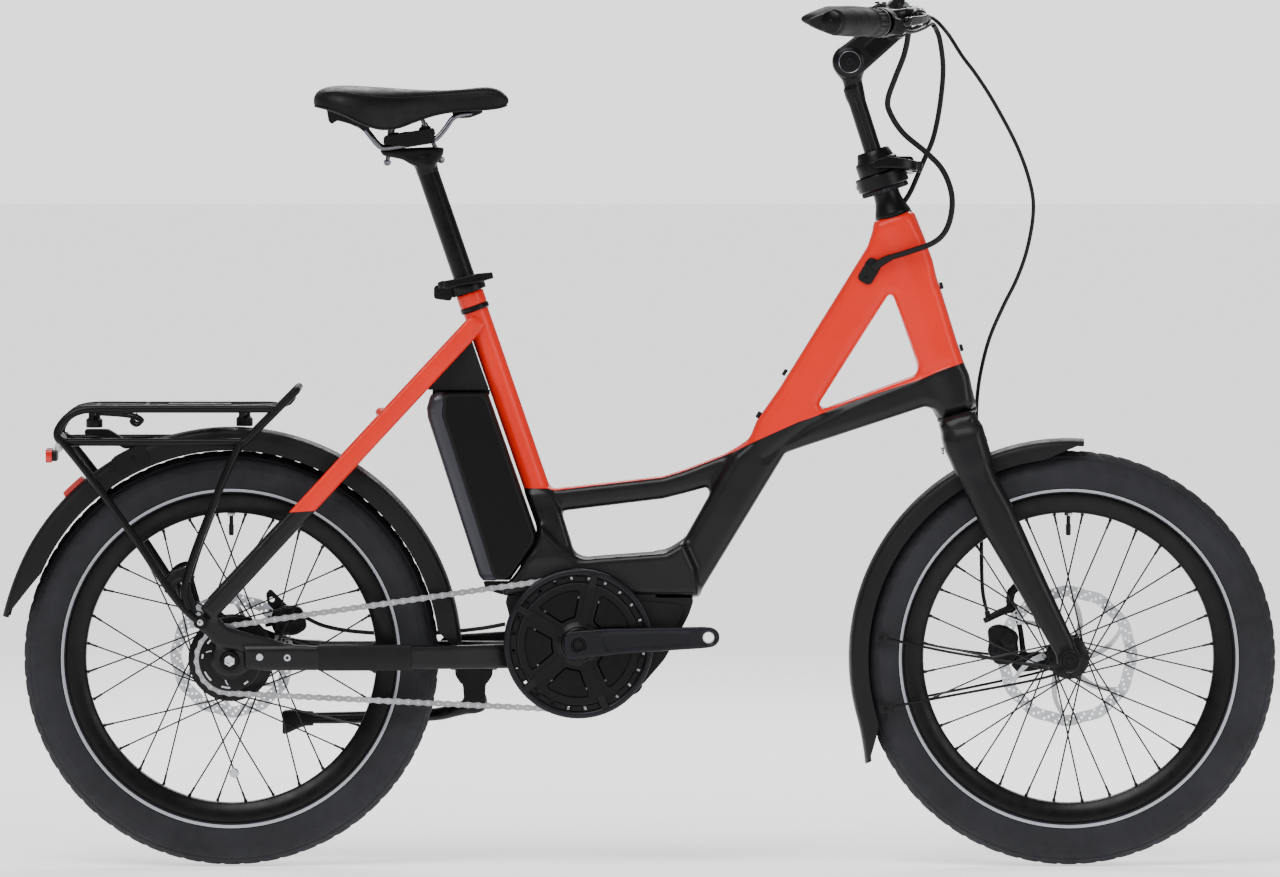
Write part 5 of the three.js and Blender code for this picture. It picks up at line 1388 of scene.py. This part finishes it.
stations = np.array([-414, -412.5, -408, -400, -388, -372, -352, -330, -308, -288, -268, -248, -228,
    -208, -192, -180, -172.5, -168.5, -167])
half_width = np.array([30, 44, 55, 64.5, 72, 76.5, 75, 66, 52.5, 40, 31, 25, 21.3, 19, 17.4, 15, 11.6,
    8, 4])
crown_z = np.array([975, 981.5, 986.5, 990.2, 992.6, 993, 992.2, 991, 989.6, 988.4, 987.8, 988, 989.2,
    990.6, 990.8, 988, 983, 978.6, 975.5])
skirt_z = np.array([970.5, 968.5, 967.2, 965.4, 962, 956, 946.5, 939.5, 940.5, 947.5, 954.5, 959.2,
    961.8, 963, 963.8, 965.4, 967.5, 969.6, 971.5])
dense = np.concatenate([np.linspace(-414, -396, 14), np.linspace(-394, -186, 86),
    np.linspace(-184, -167, 14)])


def through(values):
    fine = smooth(np.stack([stations, values], 1), 6)
    return np.interp(dense, fine[:, 0], fine[:, 1])


hw, top, low_edge = through(half_width), through(crown_z), through(skirt_z)
rows = []
across = 72
for x, w, zt, zb in zip(dense, hw, top, low_edge):
    row = []
    for k in range(across + 1):
        a = math.pi * k / across
        c, s = math.cos(a), math.sin(a)
        y = w * math.copysign(abs(c) ** 0.72, c)
        z = zb + (zt - zb) * s ** 0.55
        share = abs(y) / max(w, 1)
        dip = math.exp(-(y / 6.5) ** 2) * 3.4 * min(1, max(0, (x + 396) / 30)) * min(1,
            max(0, (-205 - x) / 30))
        z -= dip
        seam_at = abs(k - 13), abs(k - across + 13)
        pinch = math.exp(-(min(seam_at) / 0.9) ** 2) * 0.8 if -404 < x < -176 else 0
        z -= pinch
        row.append((x, y * (1 - 0.006 * pinch), z))
    for k in range(across + 1):
        a = math.pi * k / across
        c = -math.cos(a)
        y = (w - 2.6) * math.copysign(abs(c) ** 0.85, c)
        z = zb + 1.0 + 7.5 * (1 - abs(c) ** 3) * min(1.0, w / 30)
        if k in (0, across):
            z = zb - 0.2
        row.append((x, y, z))
    rows.append(row)
saddle = piece("saddle_cushion", skin(rows), leather, "seat_post", "saddle_pad", angle=50)
stitches = []
rows = np.array(rows)
edge_line = [tuple(rows[i][0] + np.array([0, 0.4, -0.6])) for i in range(2, len(rows) - 1, 3)]
edge_left = [tuple(rows[i][across] + np.array([0, -0.4, -0.6])) for i in range(2, len(rows) - 1, 3)]
rim_path = edge_line + edge_left[::-1]
oval = circle(1.0, 12) * (1.5, 2.1)
piece("saddle_base_edge", sweep(smooth(rim_path, 2), oval, first=(0, 0, 1)), plastic, "seat_post")
for column in (15, across - 15):
    line = rows[8:-8, column]
    lengths = np.concatenate([[0], np.cumsum(np.linalg.norm(np.diff(line, axis=0), axis=1))])
    for s in np.arange(2, lengths[-1] - 4, 5.2):
        a = [np.interp(s, lengths, line[:, i]) for i in range(3)]
        b = [np.interp(s + 3.4, lengths, line[:, i]) for i in range(3)]
        a[2] += 0.2
        b[2] += 0.2
        stitches.append(rod(a, b, 0.55, 6))
piece("saddle_stitches", merge(*stitches), thread, "seat_post")

# ---- quick releases --------------------------------------------------------------------------
def lever(name, points, widths, thickness, body_name, node, hub, hub_dir, hub_radius):
    path = smooth(points, 8)
    scale = [(float(np.interp(i / (len(path) - 1), np.linspace(0, 1, len(widths)), widths)), 1.0)
        for i in range(len(path))]
    flat = np.array([(-1, -0.55), (-0.8, -1), (0.8, -1), (1, -0.55), (1, 0.55), (0.8, 1), (-0.8, 1),
        (-1, 0.55)]) * (1, thickness)
    blade = sweep(path, flat, first=(0, 0, 1), scale=scale)
    boss = lathe([(0, -hub_radius), (hub_radius * 0.82, -hub_radius), (hub_radius, -hub_radius * 0.75),
        (hub_radius, hub_radius * 0.75), (hub_radius * 0.82, hub_radius), (0, hub_radius)], hub,
        hub_dir, 32)
    piece(name, merge(blade, boss), black_metal, body_name, node, bevel=0.7, segments=2, angle=40)


lever("seat_release_arm", [(-252, -16.6, 740), (-243, -27, 741), (-228, -30.5, 744.5),
    (-206, -31.4, 749), (-187, -27, 752.5)], [4.4, 5.2, 5.0, 5.8, 4.0], 2.3, "seat_clamp_lever",
    "seat_clamp_lever", (-252, -16.6, 740), SEAT_AXIS, 4.6)
lever("collar_release_arm", [(351, -13, 890), (348, -28, 891.5), (336, -36, 894), (314, -39, 896),
    (297, -37.5, 893)], [6.4, 6.6, 6.2, 7.4, 5.0], 3.0, "collar_lever", "collar_lever",
    (352, -13.5, 890), (0, 0, 1), 7.0)

# ---- collar above the head tube --------------------------------------------------------------
foot = steer(264 + 3)
low_cone = [(14.9, 0), (23.4, 0), (23.7, 1), (22.6, 4), (19.4, 13), (17.4, 20), (16.8, 26),
    (16.8, 30.4), (14.9, 30.4)]
piece("collar_cone", lathe(low_cone, foot, STEER, 64, True), black_metal, "fork", "stem_collar",
    angle=40)
scale_ring = []
for k in range(72):
    a = k * 5
    r = 30.6 if k % 2 else 29.4
    scale_ring.append((r * math.cos(math.radians(a)), r * math.sin(math.radians(a))))
u, v, w = axes(STEER)
rows = []
for r, h in ((0.93, 30.6), (1, 31.4), (1, 36), (0.96, 36.8)):
    rows.append([foot + u * x * r + v * y * r + w * h for x, y in scale_ring])
rows.append([foot + u * x * 0.52 + v * y * 0.52 + w * 36.8 for x, y in scale_ring])
rows.append([foot + u * x * 0.52 + v * y * 0.52 + w * 30.6 for x, y in scale_ring])
piece("collar_scale_ring", skin(rows, True, False, True), grey_metal, "fork", angle=25)
ring_low = [(15.4, 37.2), (31.6, 37.2), (33, 38.4), (33, 54), (31.8, 55.6), (12.4, 55.6), (12.4, 38),
    (15.4, 37.8)]
piece("collar_clamp_ring", lathe(ring_low, foot, STEER, 72, True), black_metal, "fork", angle=35)
piece("collar_clamp_lines", merge(*[lathe([(32.8, h), (33.3, h + 0.2), (33.3, h + 0.7),
    (32.8, h + 0.9)], foot, STEER, 72, True) for h in (40.6, 48.0)]), grey_metal, "fork")
ring_top = [(11.9, 56), (26.4, 56), (27.2, 57), (27.2, 71.5), (26, 73.4), (24, 74.4), (22.4, 79),
    (20.8, 84.6), (19.4, 86), (12.4, 86), (11.9, 85)]
piece("collar_top_cap", lathe(ring_top, foot, STEER, 64, True), black_metal, "fork", angle=35)
lug = rounded([(318, 886), (345, 885), (348, 888), (348, 900), (345, 903), (320, 903)], 2.5)
piece("collar_lugs", merge(plate(lug, -10.5, -1.2), plate(lug, 1.2, 10.5)), black_metal, "fork",
    bevel=1.2, segments=3)
piece("collar_bolts", merge(lathe([(0, 0), (6.6, 0), (7.4, 1), (7.4, 5), (6.2, 6.4), (0, 6.6)],
    (344, 9.7, 887), ACROSS, 28), bolt((334, -10.4, 890), (0, -1, 0), 2.8, 1.6),
    bolt((342, -10.4, 897), (0, -1, 0), 2.6, 1.6), bolt(foot + w * 46
    + np.array([-33.0 * math.cos(LEAN), 0, -33.0 * math.sin(LEAN)]),
    (-math.cos(LEAN), 0, -math.sin(LEAN)), 3.2, 1.8)), bright, "fork", bevel=0.3)
piece("collar_mark", plate([(-0.8, 31.6), (0.8, 31.6), (0.8, 36), (-0.8, 36)], 30.5, 31.1,
    origin=tuple(foot), x=(math.cos(LEAN), 0, math.sin(LEAN)), z=tuple(STEER)), tick_paint, "fork")

# ---- stem post and arm -----------------------------------------------------------------------
piece("guide_tube_inner", lathe([(0, 112), (10, 112), (11, 113), (11, 299.4), (0, 299.4)], steer(0),
    STEER, 40), steel, "stem_slider", "stem_guide_tube")
pivot_at = np.array([266.2, 0, 1023.1])
bar_at = np.array([327.0, 0, 1073.5])
post = Field((240, -26, 856), (336, 26, 1050), 1.2)
post.add(post.cylinder(steer(300), steer(436), 11.2, 0.4))
post.add(post.tube([tuple(steer(428)), tuple(pivot_at)], [11.2, 13.5]), 6)
post.add(post.cylinder(pivot_at - (0, 10, 0), pivot_at + (0, 10, 0), 22, 1.6), 9)
for y in (-1, 1):
    line = [steer(330) + (0, y * 12.6, 0), steer(424) + (0, y * 12.6, 0)]
    post.cut(post.tube([tuple(p) for p in line], [3.2, 3.2]), 1)
piece("stem_post_forged", post.shape(), black_metal, "stem_post", "stem_post", angle=50, relax=1)
stem = Field((240, -30, 998), (352, 30, 1100), 1.2)
cheek = [*arc((266.2, 1023.1), 21.6, 132, 308, 16), *arc((327, 1073.5), 18.6, -50, 130, 16)]
stem.add(stem.slab(cheek, 17, 4.5))
stem.cut(stem.cylinder(pivot_at - (0, 10.5, 0), pivot_at + (0, 10.5, 0), 25, 0.3))
stem.add(stem.cylinder(bar_at - (0, 23, 0), bar_at + (0, 23, 0), 19.4, 2.2), 5)
recess = rounded([(284, 1042), (297, 1030), (319, 1049), (306, 1062)], 4)
for y in (-17.4, 17.4):
    stem.cut(stem.slab(recess, 1.1, 0.6, middle=y), 0.8)
for y in (-17, 17):
    stem.add(stem.cylinder((266.2, y - 1.6, 1023.1), (266.2, y + 1.6, 1023.1), 16.5, 1), 2)
stem.cut(stem.slab([(345, 1080), (351, 1080), (351, 1067), (345, 1067)], 30, 0.4))
piece("stem_arm", stem.shape(), black_metal, "cockpit", angle=50, relax=1)
for side, label in SIDES:
    at = (266.2, side * 18.4, 1023.1)
    piece("stem_pivot_ring_" + label, lathe([(13.2, 0), (14.3, 0), (14.3, 1.1), (13.8, 1.5),
        (13.2, 1.2)], at, (0, side, 0), 56, True), rail_steel, "cockpit", angle=40)
    piece("stem_pivot_cap_" + label, merge(lathe([(0, 0), (12.4, 0), (12.4, 0.9), (8, 1.2), (0, 1.2)],
        at, (0, side, 0), 56)), black_metal, "cockpit")
    piece("stem_pivot_bolt_" + label, bolt((266.2, side * 19.2, 1023.1), (0, side, 0), 5.4, 3.2),
        grey_metal, "cockpit")
    inset = rounded([(286, 1042), (297, 1032), (317, 1049), (306, 1060)], 3)
    piece("stem_panel_" + label, plate(inset, *sorted((side * 16.2, side * 17.0))), gloss, "cockpit",
        bevel=0.3)
piece("faceplate_bolts", merge(*[bolt((344.2, y, z), (0.95, 0, 0.3), 3.4, 2.6) for y in (-15, 15)
    for z in (1086, 1063)]), bright, "cockpit")

# ---- handlebar -------------------------------------------------------------------------------
def bar_point(y):
    swept = max(0.0, (abs(y) - 40) / 270) ** 1.5
    return np.array([327 - 89 * swept, y, 1073.5 + 2 * swept])


def bar_frame(y):
    tangent = unit(bar_point(y + 1) - bar_point(y - 1))
    return bar_point(y), tangent


bar_path = [bar_point(y) for y in np.linspace(-308, 308, 121)]
swell = [(1 + 0.28 * max(0, 1 - abs(p[1]) / 60),) * 2 for p in bar_path]
piece("handlebar_tube", sweep(bar_path, circle(11, 28), first=(0, 0, 1), scale=swell), black_metal,
    "cockpit", "handlebar")
for side, label in SIDES:
    rows = []
    ys = np.linspace(197.5 if side < 0 else 168, 309, 64)
    for i, y in enumerate(ys):
        p, t = bar_frame(side * y)
        back = unit(np.cross(t, (0, 0, 1)) * (1 if side > 0 else -1))
        back = back if back[0] < 0 else -back
        up = unit(np.cross(back, t))
        up = up if up[2] > 0 else -up
        share = (y - ys[0]) / (ys[-1] - ys[0])
        base = 16.4 + 1.6 * math.exp(-((share - 0.45) / 0.35) ** 2) + 1.6 * math.exp(-((y
            - ys[0]) / 4) ** 2)
        wing = 24 * max(0.0, (share - 0.5) / 0.5) ** 1.3
        if y > 303:
            base -= (y - 303) * 0.55
            wing -= (y - 303) * 1.2
        ridge = 0.45 * (1 if (i % 3 == 0 and 0.08 < share < 0.72) else 0)
        row = []
        for k in range(40):
            a = 2 * math.pi * k / 40
            c, s = math.cos(a), math.sin(a)
            out = base - ridge + (wing * max(0.0, c) ** 1.5 if c > 0 else 0)
            row.append(p + back * out * c + up * (base - ridge) * s
                * (1 - 0.24 * (wing / 24) * max(0, c)))
        rows.append(row)
    piece("grip_" + label + "_moulded", skin(rows), grip_rubber, "cockpit", "grip_" + label,
        angle=40)
    p, t = bar_frame(side * 309)
    out = t * side
    piece("grip_cap_" + label, merge(lathe([(0, -1), (14, -1), (14, 0.6), (12.6, 1.8), (0, 2.2)],
        p + out * 0.2, out, 40)), black_metal, "cockpit", angle=40)
    piece("grip_cap_bolt_" + label, bolt(p + out * 2.0, out, 3.6, 1.2), grey_metal, "cockpit")
    p, t = bar_frame(side * (195.6 if side < 0 else 166))
    if side > 0:
        piece("grip_collar_left", lathe([(11.6, -3), (16.6, -3), (17.6, -2), (17.6, 2), (16.6, 3),
            (11.6, 3)], bar_point(164.5), bar_frame(164.5)[1], 48, True), grey_metal, "cockpit")
drum_rows = []
shift_axis = unit(bar_point(-164) - bar_point(-197))
shift_mid = (bar_point(-164) + bar_point(-196.5)) / 2
u, v, w = axes(shift_axis)
for h, r in ((-16, 12.6), (-16, 16.0), (-15, 17.2), (-10, 17.6), (2, 17.4), (9, 18.2), (11, 18.6),
        (15, 18.4), (16.2, 16.5), (16.2, 12.6)):
    row = []
    for k in range(72):
        a = 2 * math.pi * k / 72
        grip_cut = 0.9 if (k % 4 < 2 and -15.5 < h < 9.5 and r > 13) else 0.0
        row.append(shift_mid + (u * math.cos(a) + v * math.sin(a)) * (r - grip_cut) + w * h)
    drum_rows.append(row)
piece("shifter_drum", skin(drum_rows, True, False, True), grip_rubber, "twist_shifter", "twist_shifter",
    angle=28)
piece("shifter_band", lathe([(18.4, 11.4), (18.9, 11.8), (18.9, 13.6), (18.4, 14)], shift_mid,
    shift_axis, 56, True), band_grey, "twist_shifter")
case = Field((270, -163, 1048), (352, -126, 1102), 1.3)
case.add(case.cylinder(bar_point(-162), bar_point(-137), 19, 3))
case.add(case.slab([(300, 1062), (330, 1058), (338, 1066), (330, 1078), (306, 1080)], 11, 4,
    middle=-149), 5)
piece("shifter_case", case.shape(), plastic, "cockpit", angle=50, relax=1)
piece("shifter_window", plate(rounded([(-9, -5), (9, -5), (9, 5), (-9, 5)], 3), 0, 1.6,
    origin=(311, -149, 1090.6), x=ACROSS, z=(-0.86, 0, 0.5)), glass, "cockpit", bevel=0.4)
for side, label in SIDES:
    grid = Field((292, 100, 1050), (372, 162, 1100), 1.3)
    clamp_y = 118
    grid.add(grid.cylinder(bar_point(clamp_y - 8), bar_point(clamp_y + 8), 17, 2))
    grid.add(grid.tube([(322, 118, 1080), (340, 122, 1084), (352, 136, 1083), (352, 150, 1082)],
        [9.5, 9, 9.6, 9]), 6)
    grid.add(grid.tube([(350, 106, 1083), (352, 126, 1084)], [6, 8.6]), 5)
    shape = grid.shape()
    shape = shape if side > 0 else mirror(shape)
    piece("brake_master_" + label, shape, black_metal, "cockpit", angle=50, relax=1)
    piece("brake_clamp_bolts_" + label, merge(bolt((333, side * 118, 1062), (0.4, 0, -0.92), 3.2, 2.4),
        bolt((341, side * 112, 1093), (0.2, 0, 0.98), 3.4, 2),
        rod((352, side * 150, 1071), (352, side * 150, 1093), 4.2, 20, 0.6)), bright, "cockpit")
    path = smooth([(350, side * 151, 1082), (357, side * 166, 1081), (359, side * 184, 1080),
        (354, side * 208, 1078.5), (345, side * 228, 1077), (337, side * 243, 1076)], 6)
    widths = np.interp(np.linspace(0, 1, len(path)), [0, 0.15, 0.5, 0.9, 1],
        [1.25, 0.9, 0.85, 1.1, 0.8])
    flat = np.array([(-5.6, -1.8), (-4.4, -3.2), (4.4, -3.2), (5.6, -1.8), (5.2, 1.4), (3.4, 2.6),
        (-3.4, 2.6), (-5.2, 1.4)])
    blade = sweep(path, flat, first=(0, 0, 1), scale=[(k, 1.0) for k in widths])
    tip = lathe([(0, -6), (3, -5.4), (5, -3), (5.4, 0), (5, 3), (3, 5.4), (0, 6)],
        (335, side * 246, 1075.8), (0, 0, 1), 24)
    piece("brake_blade_" + label, merge(blade, tip), black_metal, "brake_lever_" + label,
        "brake_lever_" + label, bevel=0.8, angle=40)
# bell on the left and a small display in front of the clamp
piece("bell_dome", lathe([(0, 15), (4, 14.8), (9, 13.2), (13, 9.6), (15, 4.6), (15.4, 1), (15.4, -0.6),
    (14.4, -0.6), (13.6, 4), (0, 8)], bar_point(84) + (8, 0, 15), (0.25, 0, 0.97), 48), bright,
    "cockpit", angle=40)
piece("bell_clamp", merge(lathe([(12.2, -5), (15, -5), (15.6, -4), (15.6, 4), (15, 5), (12.2, 5)],
    bar_point(84), ACROSS, 40, True), rod(bar_point(84) + (4, 0, 12), bar_point(84) + (8, 0, 22), 4,
    16)), plastic, "cockpit", bevel=0.5)
frame_outline = rounded([(-29, -19), (29, -19), (29, 19), (-29, 19)], 6)
piece("display_case", plate(frame_outline, -5, 5, origin=(331, 0, 1104), x=ACROSS,
    z=tuple(unit((0.72, 0, 0.69)))), plastic, "cockpit", bevel=2, segments=3)
piece("display_screen", plate(rounded([(-24, -14), (24, -14), (24, 14), (-24, 14)], 3), -5.8, -4.6,
    origin=(331, 0, 1104), x=ACROSS, z=tuple(unit((0.72, 0, 0.69)))), glass, "cockpit", bevel=0.3)
piece("display_arm", merge(tube([(327, -27, 1086), (330, -27, 1094), (332, -22, 1099)], 4.2, 14),
    tube([(327, 27, 1086), (330, 27, 1094), (332, 22, 1099)], 4.2, 14),
    lathe([(13.6, -4.5), (17, -4.5), (17.6, -3.6), (17.6, 3.6), (17, 4.5), (13.6, 4.5)],
    (327, -28, 1073.5), ACROSS, 40, True), lathe([(13.6, -4.5), (17, -4.5), (17.6, -3.6), (17.6, 3.6),
    (17, 4.5), (13.6, 4.5)], (327, 28, 1073.5), ACROSS, 40, True)), plastic, "cockpit", bevel=0.6)
remote = Field((286, 126, 1056), (346, 166, 1102), 1.3)
remote.add(remote.cylinder(bar_point(140), bar_point(156), 17, 2.5))
remote.add(remote.slab([(300, 1080), (322, 1078), (330, 1084), (326, 1094), (306, 1097), (297, 1092)],
    12, 4, middle=148), 4)
piece("mode_switch_case", remote.shape(), plastic, "cockpit", angle=50, relax=1)
piece("mode_switch_keys", merge(*[plate(rounded([(-4, -3), (4, -3), (4, 3), (-4, 3)], 1.5), -1.2, 1.2,
    origin=(x, 148 + y, z), x=ACROSS, z=(1, 0, 0)) for x, y,
    z in ((304, 0, 1097.4), (313, 0, 1097.0), (321, 0, 1094.8))]), grip_rubber, "cockpit",
    bevel=0.5)

# ---- hoses and looms -------------------------------------------------------------------------
# Each runs over several joints, so it's cut where it is still; a stretch given two bodies is left
# unattached and baked in place, and one given a single body is attached to it.
def run_of_cable(name, points, radius, material, cuts, bodies, node):
    path = smooth(points, 8)
    lengths = np.concatenate([[0], np.cumsum(np.linalg.norm(np.diff(path, axis=0), axis=1))])
    total = lengths[-1]
    steps = np.linspace(0, total, int(total / 2.5))
    path = np.stack([np.interp(steps, lengths, path[:, i]) for i in range(3)], 1)
    cut_at = [int(c * (len(path) - 1)) for c in [0, *cuts, 1]]
    side = np.array([0.0, 1.0, 0.0])
    frames = []
    for i, p in enumerate(path):
        tangent = unit(path[min(i + 1, len(path) - 1)] - path[max(i - 1, 0)])
        side = unit(side - tangent * np.dot(side, tangent))
        frames.append((p, side.copy(), np.cross(tangent, side)))
    ring = circle(radius, 14)
    for k, pair in enumerate(bodies):
        first, last = cut_at[k], cut_at[k + 1]
        rows = [p + np.outer(ring[:, 0], u) + np.outer(ring[:, 1], v) for p, u,
            v in frames[first:last + 1]]
        shape = skin(rows)
        uv = np.array([(j / 14, steps[i] * MM) for i in range(first, last + 1) for j in range(14)])
        label = name + "_" + "abcdef"[k]
        stands_for = (node,) if k == 0 and node else ()
        if isinstance(pair, str):
            piece(label, shape, material, pair, stands_for, uv=uv, angle=60)
        else:
            obj = piece(label, shape, material, None, stands_for, uv=uv, angle=60)
            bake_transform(obj)
    return total


brake_line = [(352, 106, 1083), (362, 84, 1082), (376, 50, 1076), (392, 26, 1058), (410, 20, 1030),
    (428, 18, 1006), (451, 18, 970), (480, 18, 915), (497, 18, 866), (500.5, 20, 830), (493, 22, 785),
    (480, 24, 747), (462, 30, 710), (445, 40, 669), (434, 60, 622), (430, 76, 580), (431, 77.5, 540),
    (434, 77, 500), (436, 74, 440), (436, 60, 390), (437, 52, 352), (440, 49, 332), (443, 48, 322),]
run_of_cable("front_brake_hose", brake_line, 2.5, hose_black, [0.27, 0.4, 0.53],
    [("stem_post", "cockpit"), ("stem_slider", "stem_post"), ("fork", "stem_slider"), "fork"],
    "front_brake_hose")
frame_line = [(338, -50, 1068), (340, -38, 1058), (335, -24, 1032), (324, -18, 1003), (314.8, -16, 976),
    (317.4, -16, 958.6), (334, -18, 933), (364, -22, 907.6), (384, -26, 886), (395, -30, 858),
    (395, -34, 831), (387, -37, 808), (372, -38, 794), (346, -37, 784), (317, -34, 775),]
run_of_cable("frame_loom", frame_line, 3.7, braid, [0.24, 0.44, 0.66],
    [("stem_post", "cockpit"), ("stem_slider", "stem_post"), ("fork", "stem_slider"),
    ("frame", "fork")], "frame_loom")
collar_line = [(372, -34, 1070), (376, -20, 1064), (381, -16, 1049), (385, -8, 1013), (381, 0, 967),
    (373, 4, 927), (362, 6, 900), (352, 8, 876), (346, 8, 862), (340, 7, 851), (334, 5, 843)]
run_of_cable("collar_loom", collar_line, 3.3, braid, [0.34, 0.64],
    [("stem_post", "cockpit"), ("stem_slider", "stem_post"), ("fork", "stem_slider")], "collar_loom")
run_of_cable("switch_lead", [(316, 150, 1076), (326, 142, 1062), (340, 100, 1058), (350, 50, 1062),
    (352, -10, 1066), (344, -36, 1064), (338, -46, 1062)], 2.0, hose_black, [], ["cockpit"], None)
run_of_cable("shift_lead", [(330, -142, 1064), (344, -120, 1062), (358, -80, 1066), (370, -40, 1072),
    (372, -26, 1068)], 2.2, hose_black, [], ["cockpit"], None)
run_of_cable("right_brake_lead", [(352, -106, 1083), (362, -84, 1082), (366, -60, 1076),
    (352, -48, 1068), (340, -44, 1063)], 2.5, hose_black, [], ["cockpit"], None)
run_of_cable("display_lead", [(334, 0, 1092), (344, -6, 1090), (356, -18, 1084), (364, -28, 1076),
    (370, -32, 1072)], 1.8, hose_black, [], ["cockpit"], None)

# ---- floor and light -------------------------------------------------------------------------
def lamp(name, place, target, size, power):
    light = bpy.data.lights.new(name, "AREA")
    light.shape = "RECTANGLE"
    light.size, light.size_y = size
    light.energy = power
    hang(light, place, target)


def hang(light, place, target):
    obj = bpy.data.objects.new(light.name, light)
    bpy.context.scene.collection.objects.link(obj)
    obj.location = place
    obj.rotation_euler = (Vector(target) - Vector(place)).to_track_quat("-Z", "Y").to_euler()


lamp("fill", (3.2, -2.6, 1.8), (0.2, 0, 0.5), (1.8, 1.8), 45)
lamp("back", (0.4, 3.2, 2.8), (0, 0, 0.6), (3.0, 1.2), 90)
sun = bpy.data.lights.new("wide_key", "SUN")
sun.energy = 2.75
sun.angle = 0.7
hang(sun, (-2.0, -3.6, 5.2), (0, 0, 0))
LIGHT_FROM_WORLD = 0.3
BACKDROP_AS_SEEN = 1.9
world = bpy.data.worlds.new("studio")
world.use_nodes = True
backdrop = world.node_tree.nodes["Background"]
backdrop.inputs["Color"].default_value = (1, 1, 1, 1)
ray = world.node_tree.nodes.new("ShaderNodeLightPath")
level = world.node_tree.nodes.new("ShaderNodeMapRange")
level.inputs["To Min"].default_value = LIGHT_FROM_WORLD
level.inputs["To Max"].default_value = BACKDROP_AS_SEEN
world.node_tree.links.new(ray.outputs["Is Camera Ray"], level.inputs["Value"])
world.node_tree.links.new(level.outputs[0], backdrop.inputs["Strength"])
bpy.context.scene.world = world
FLOOR_GLOW = 0.75
floor_finish = finish("pale_floor", (250, 250, 250), 0.75, 0.0, vary=0.01, grain=60.0, strength=0.02,
    dust=0.0)
floor_finish.shader.inputs["Emission Color"].default_value = (1, 1, 1, 1)
floor_finish.shader.inputs["Emission Strength"].default_value = FLOOR_GLOW
floor_mesh = bpy.data.meshes.new("floor")
floor_mesh.from_pydata([(-30, -20, 0), (30, -20, 0), (30, 40, 0), (-30, 40, 0)], [], [(0, 1, 2, 3)])
floor_mesh.materials.append(floor_finish.material)
floor = bpy.data.objects.new("floor", floor_mesh)
bpy.context.scene.collection.objects.link(floor)
floor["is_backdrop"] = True

low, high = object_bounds()
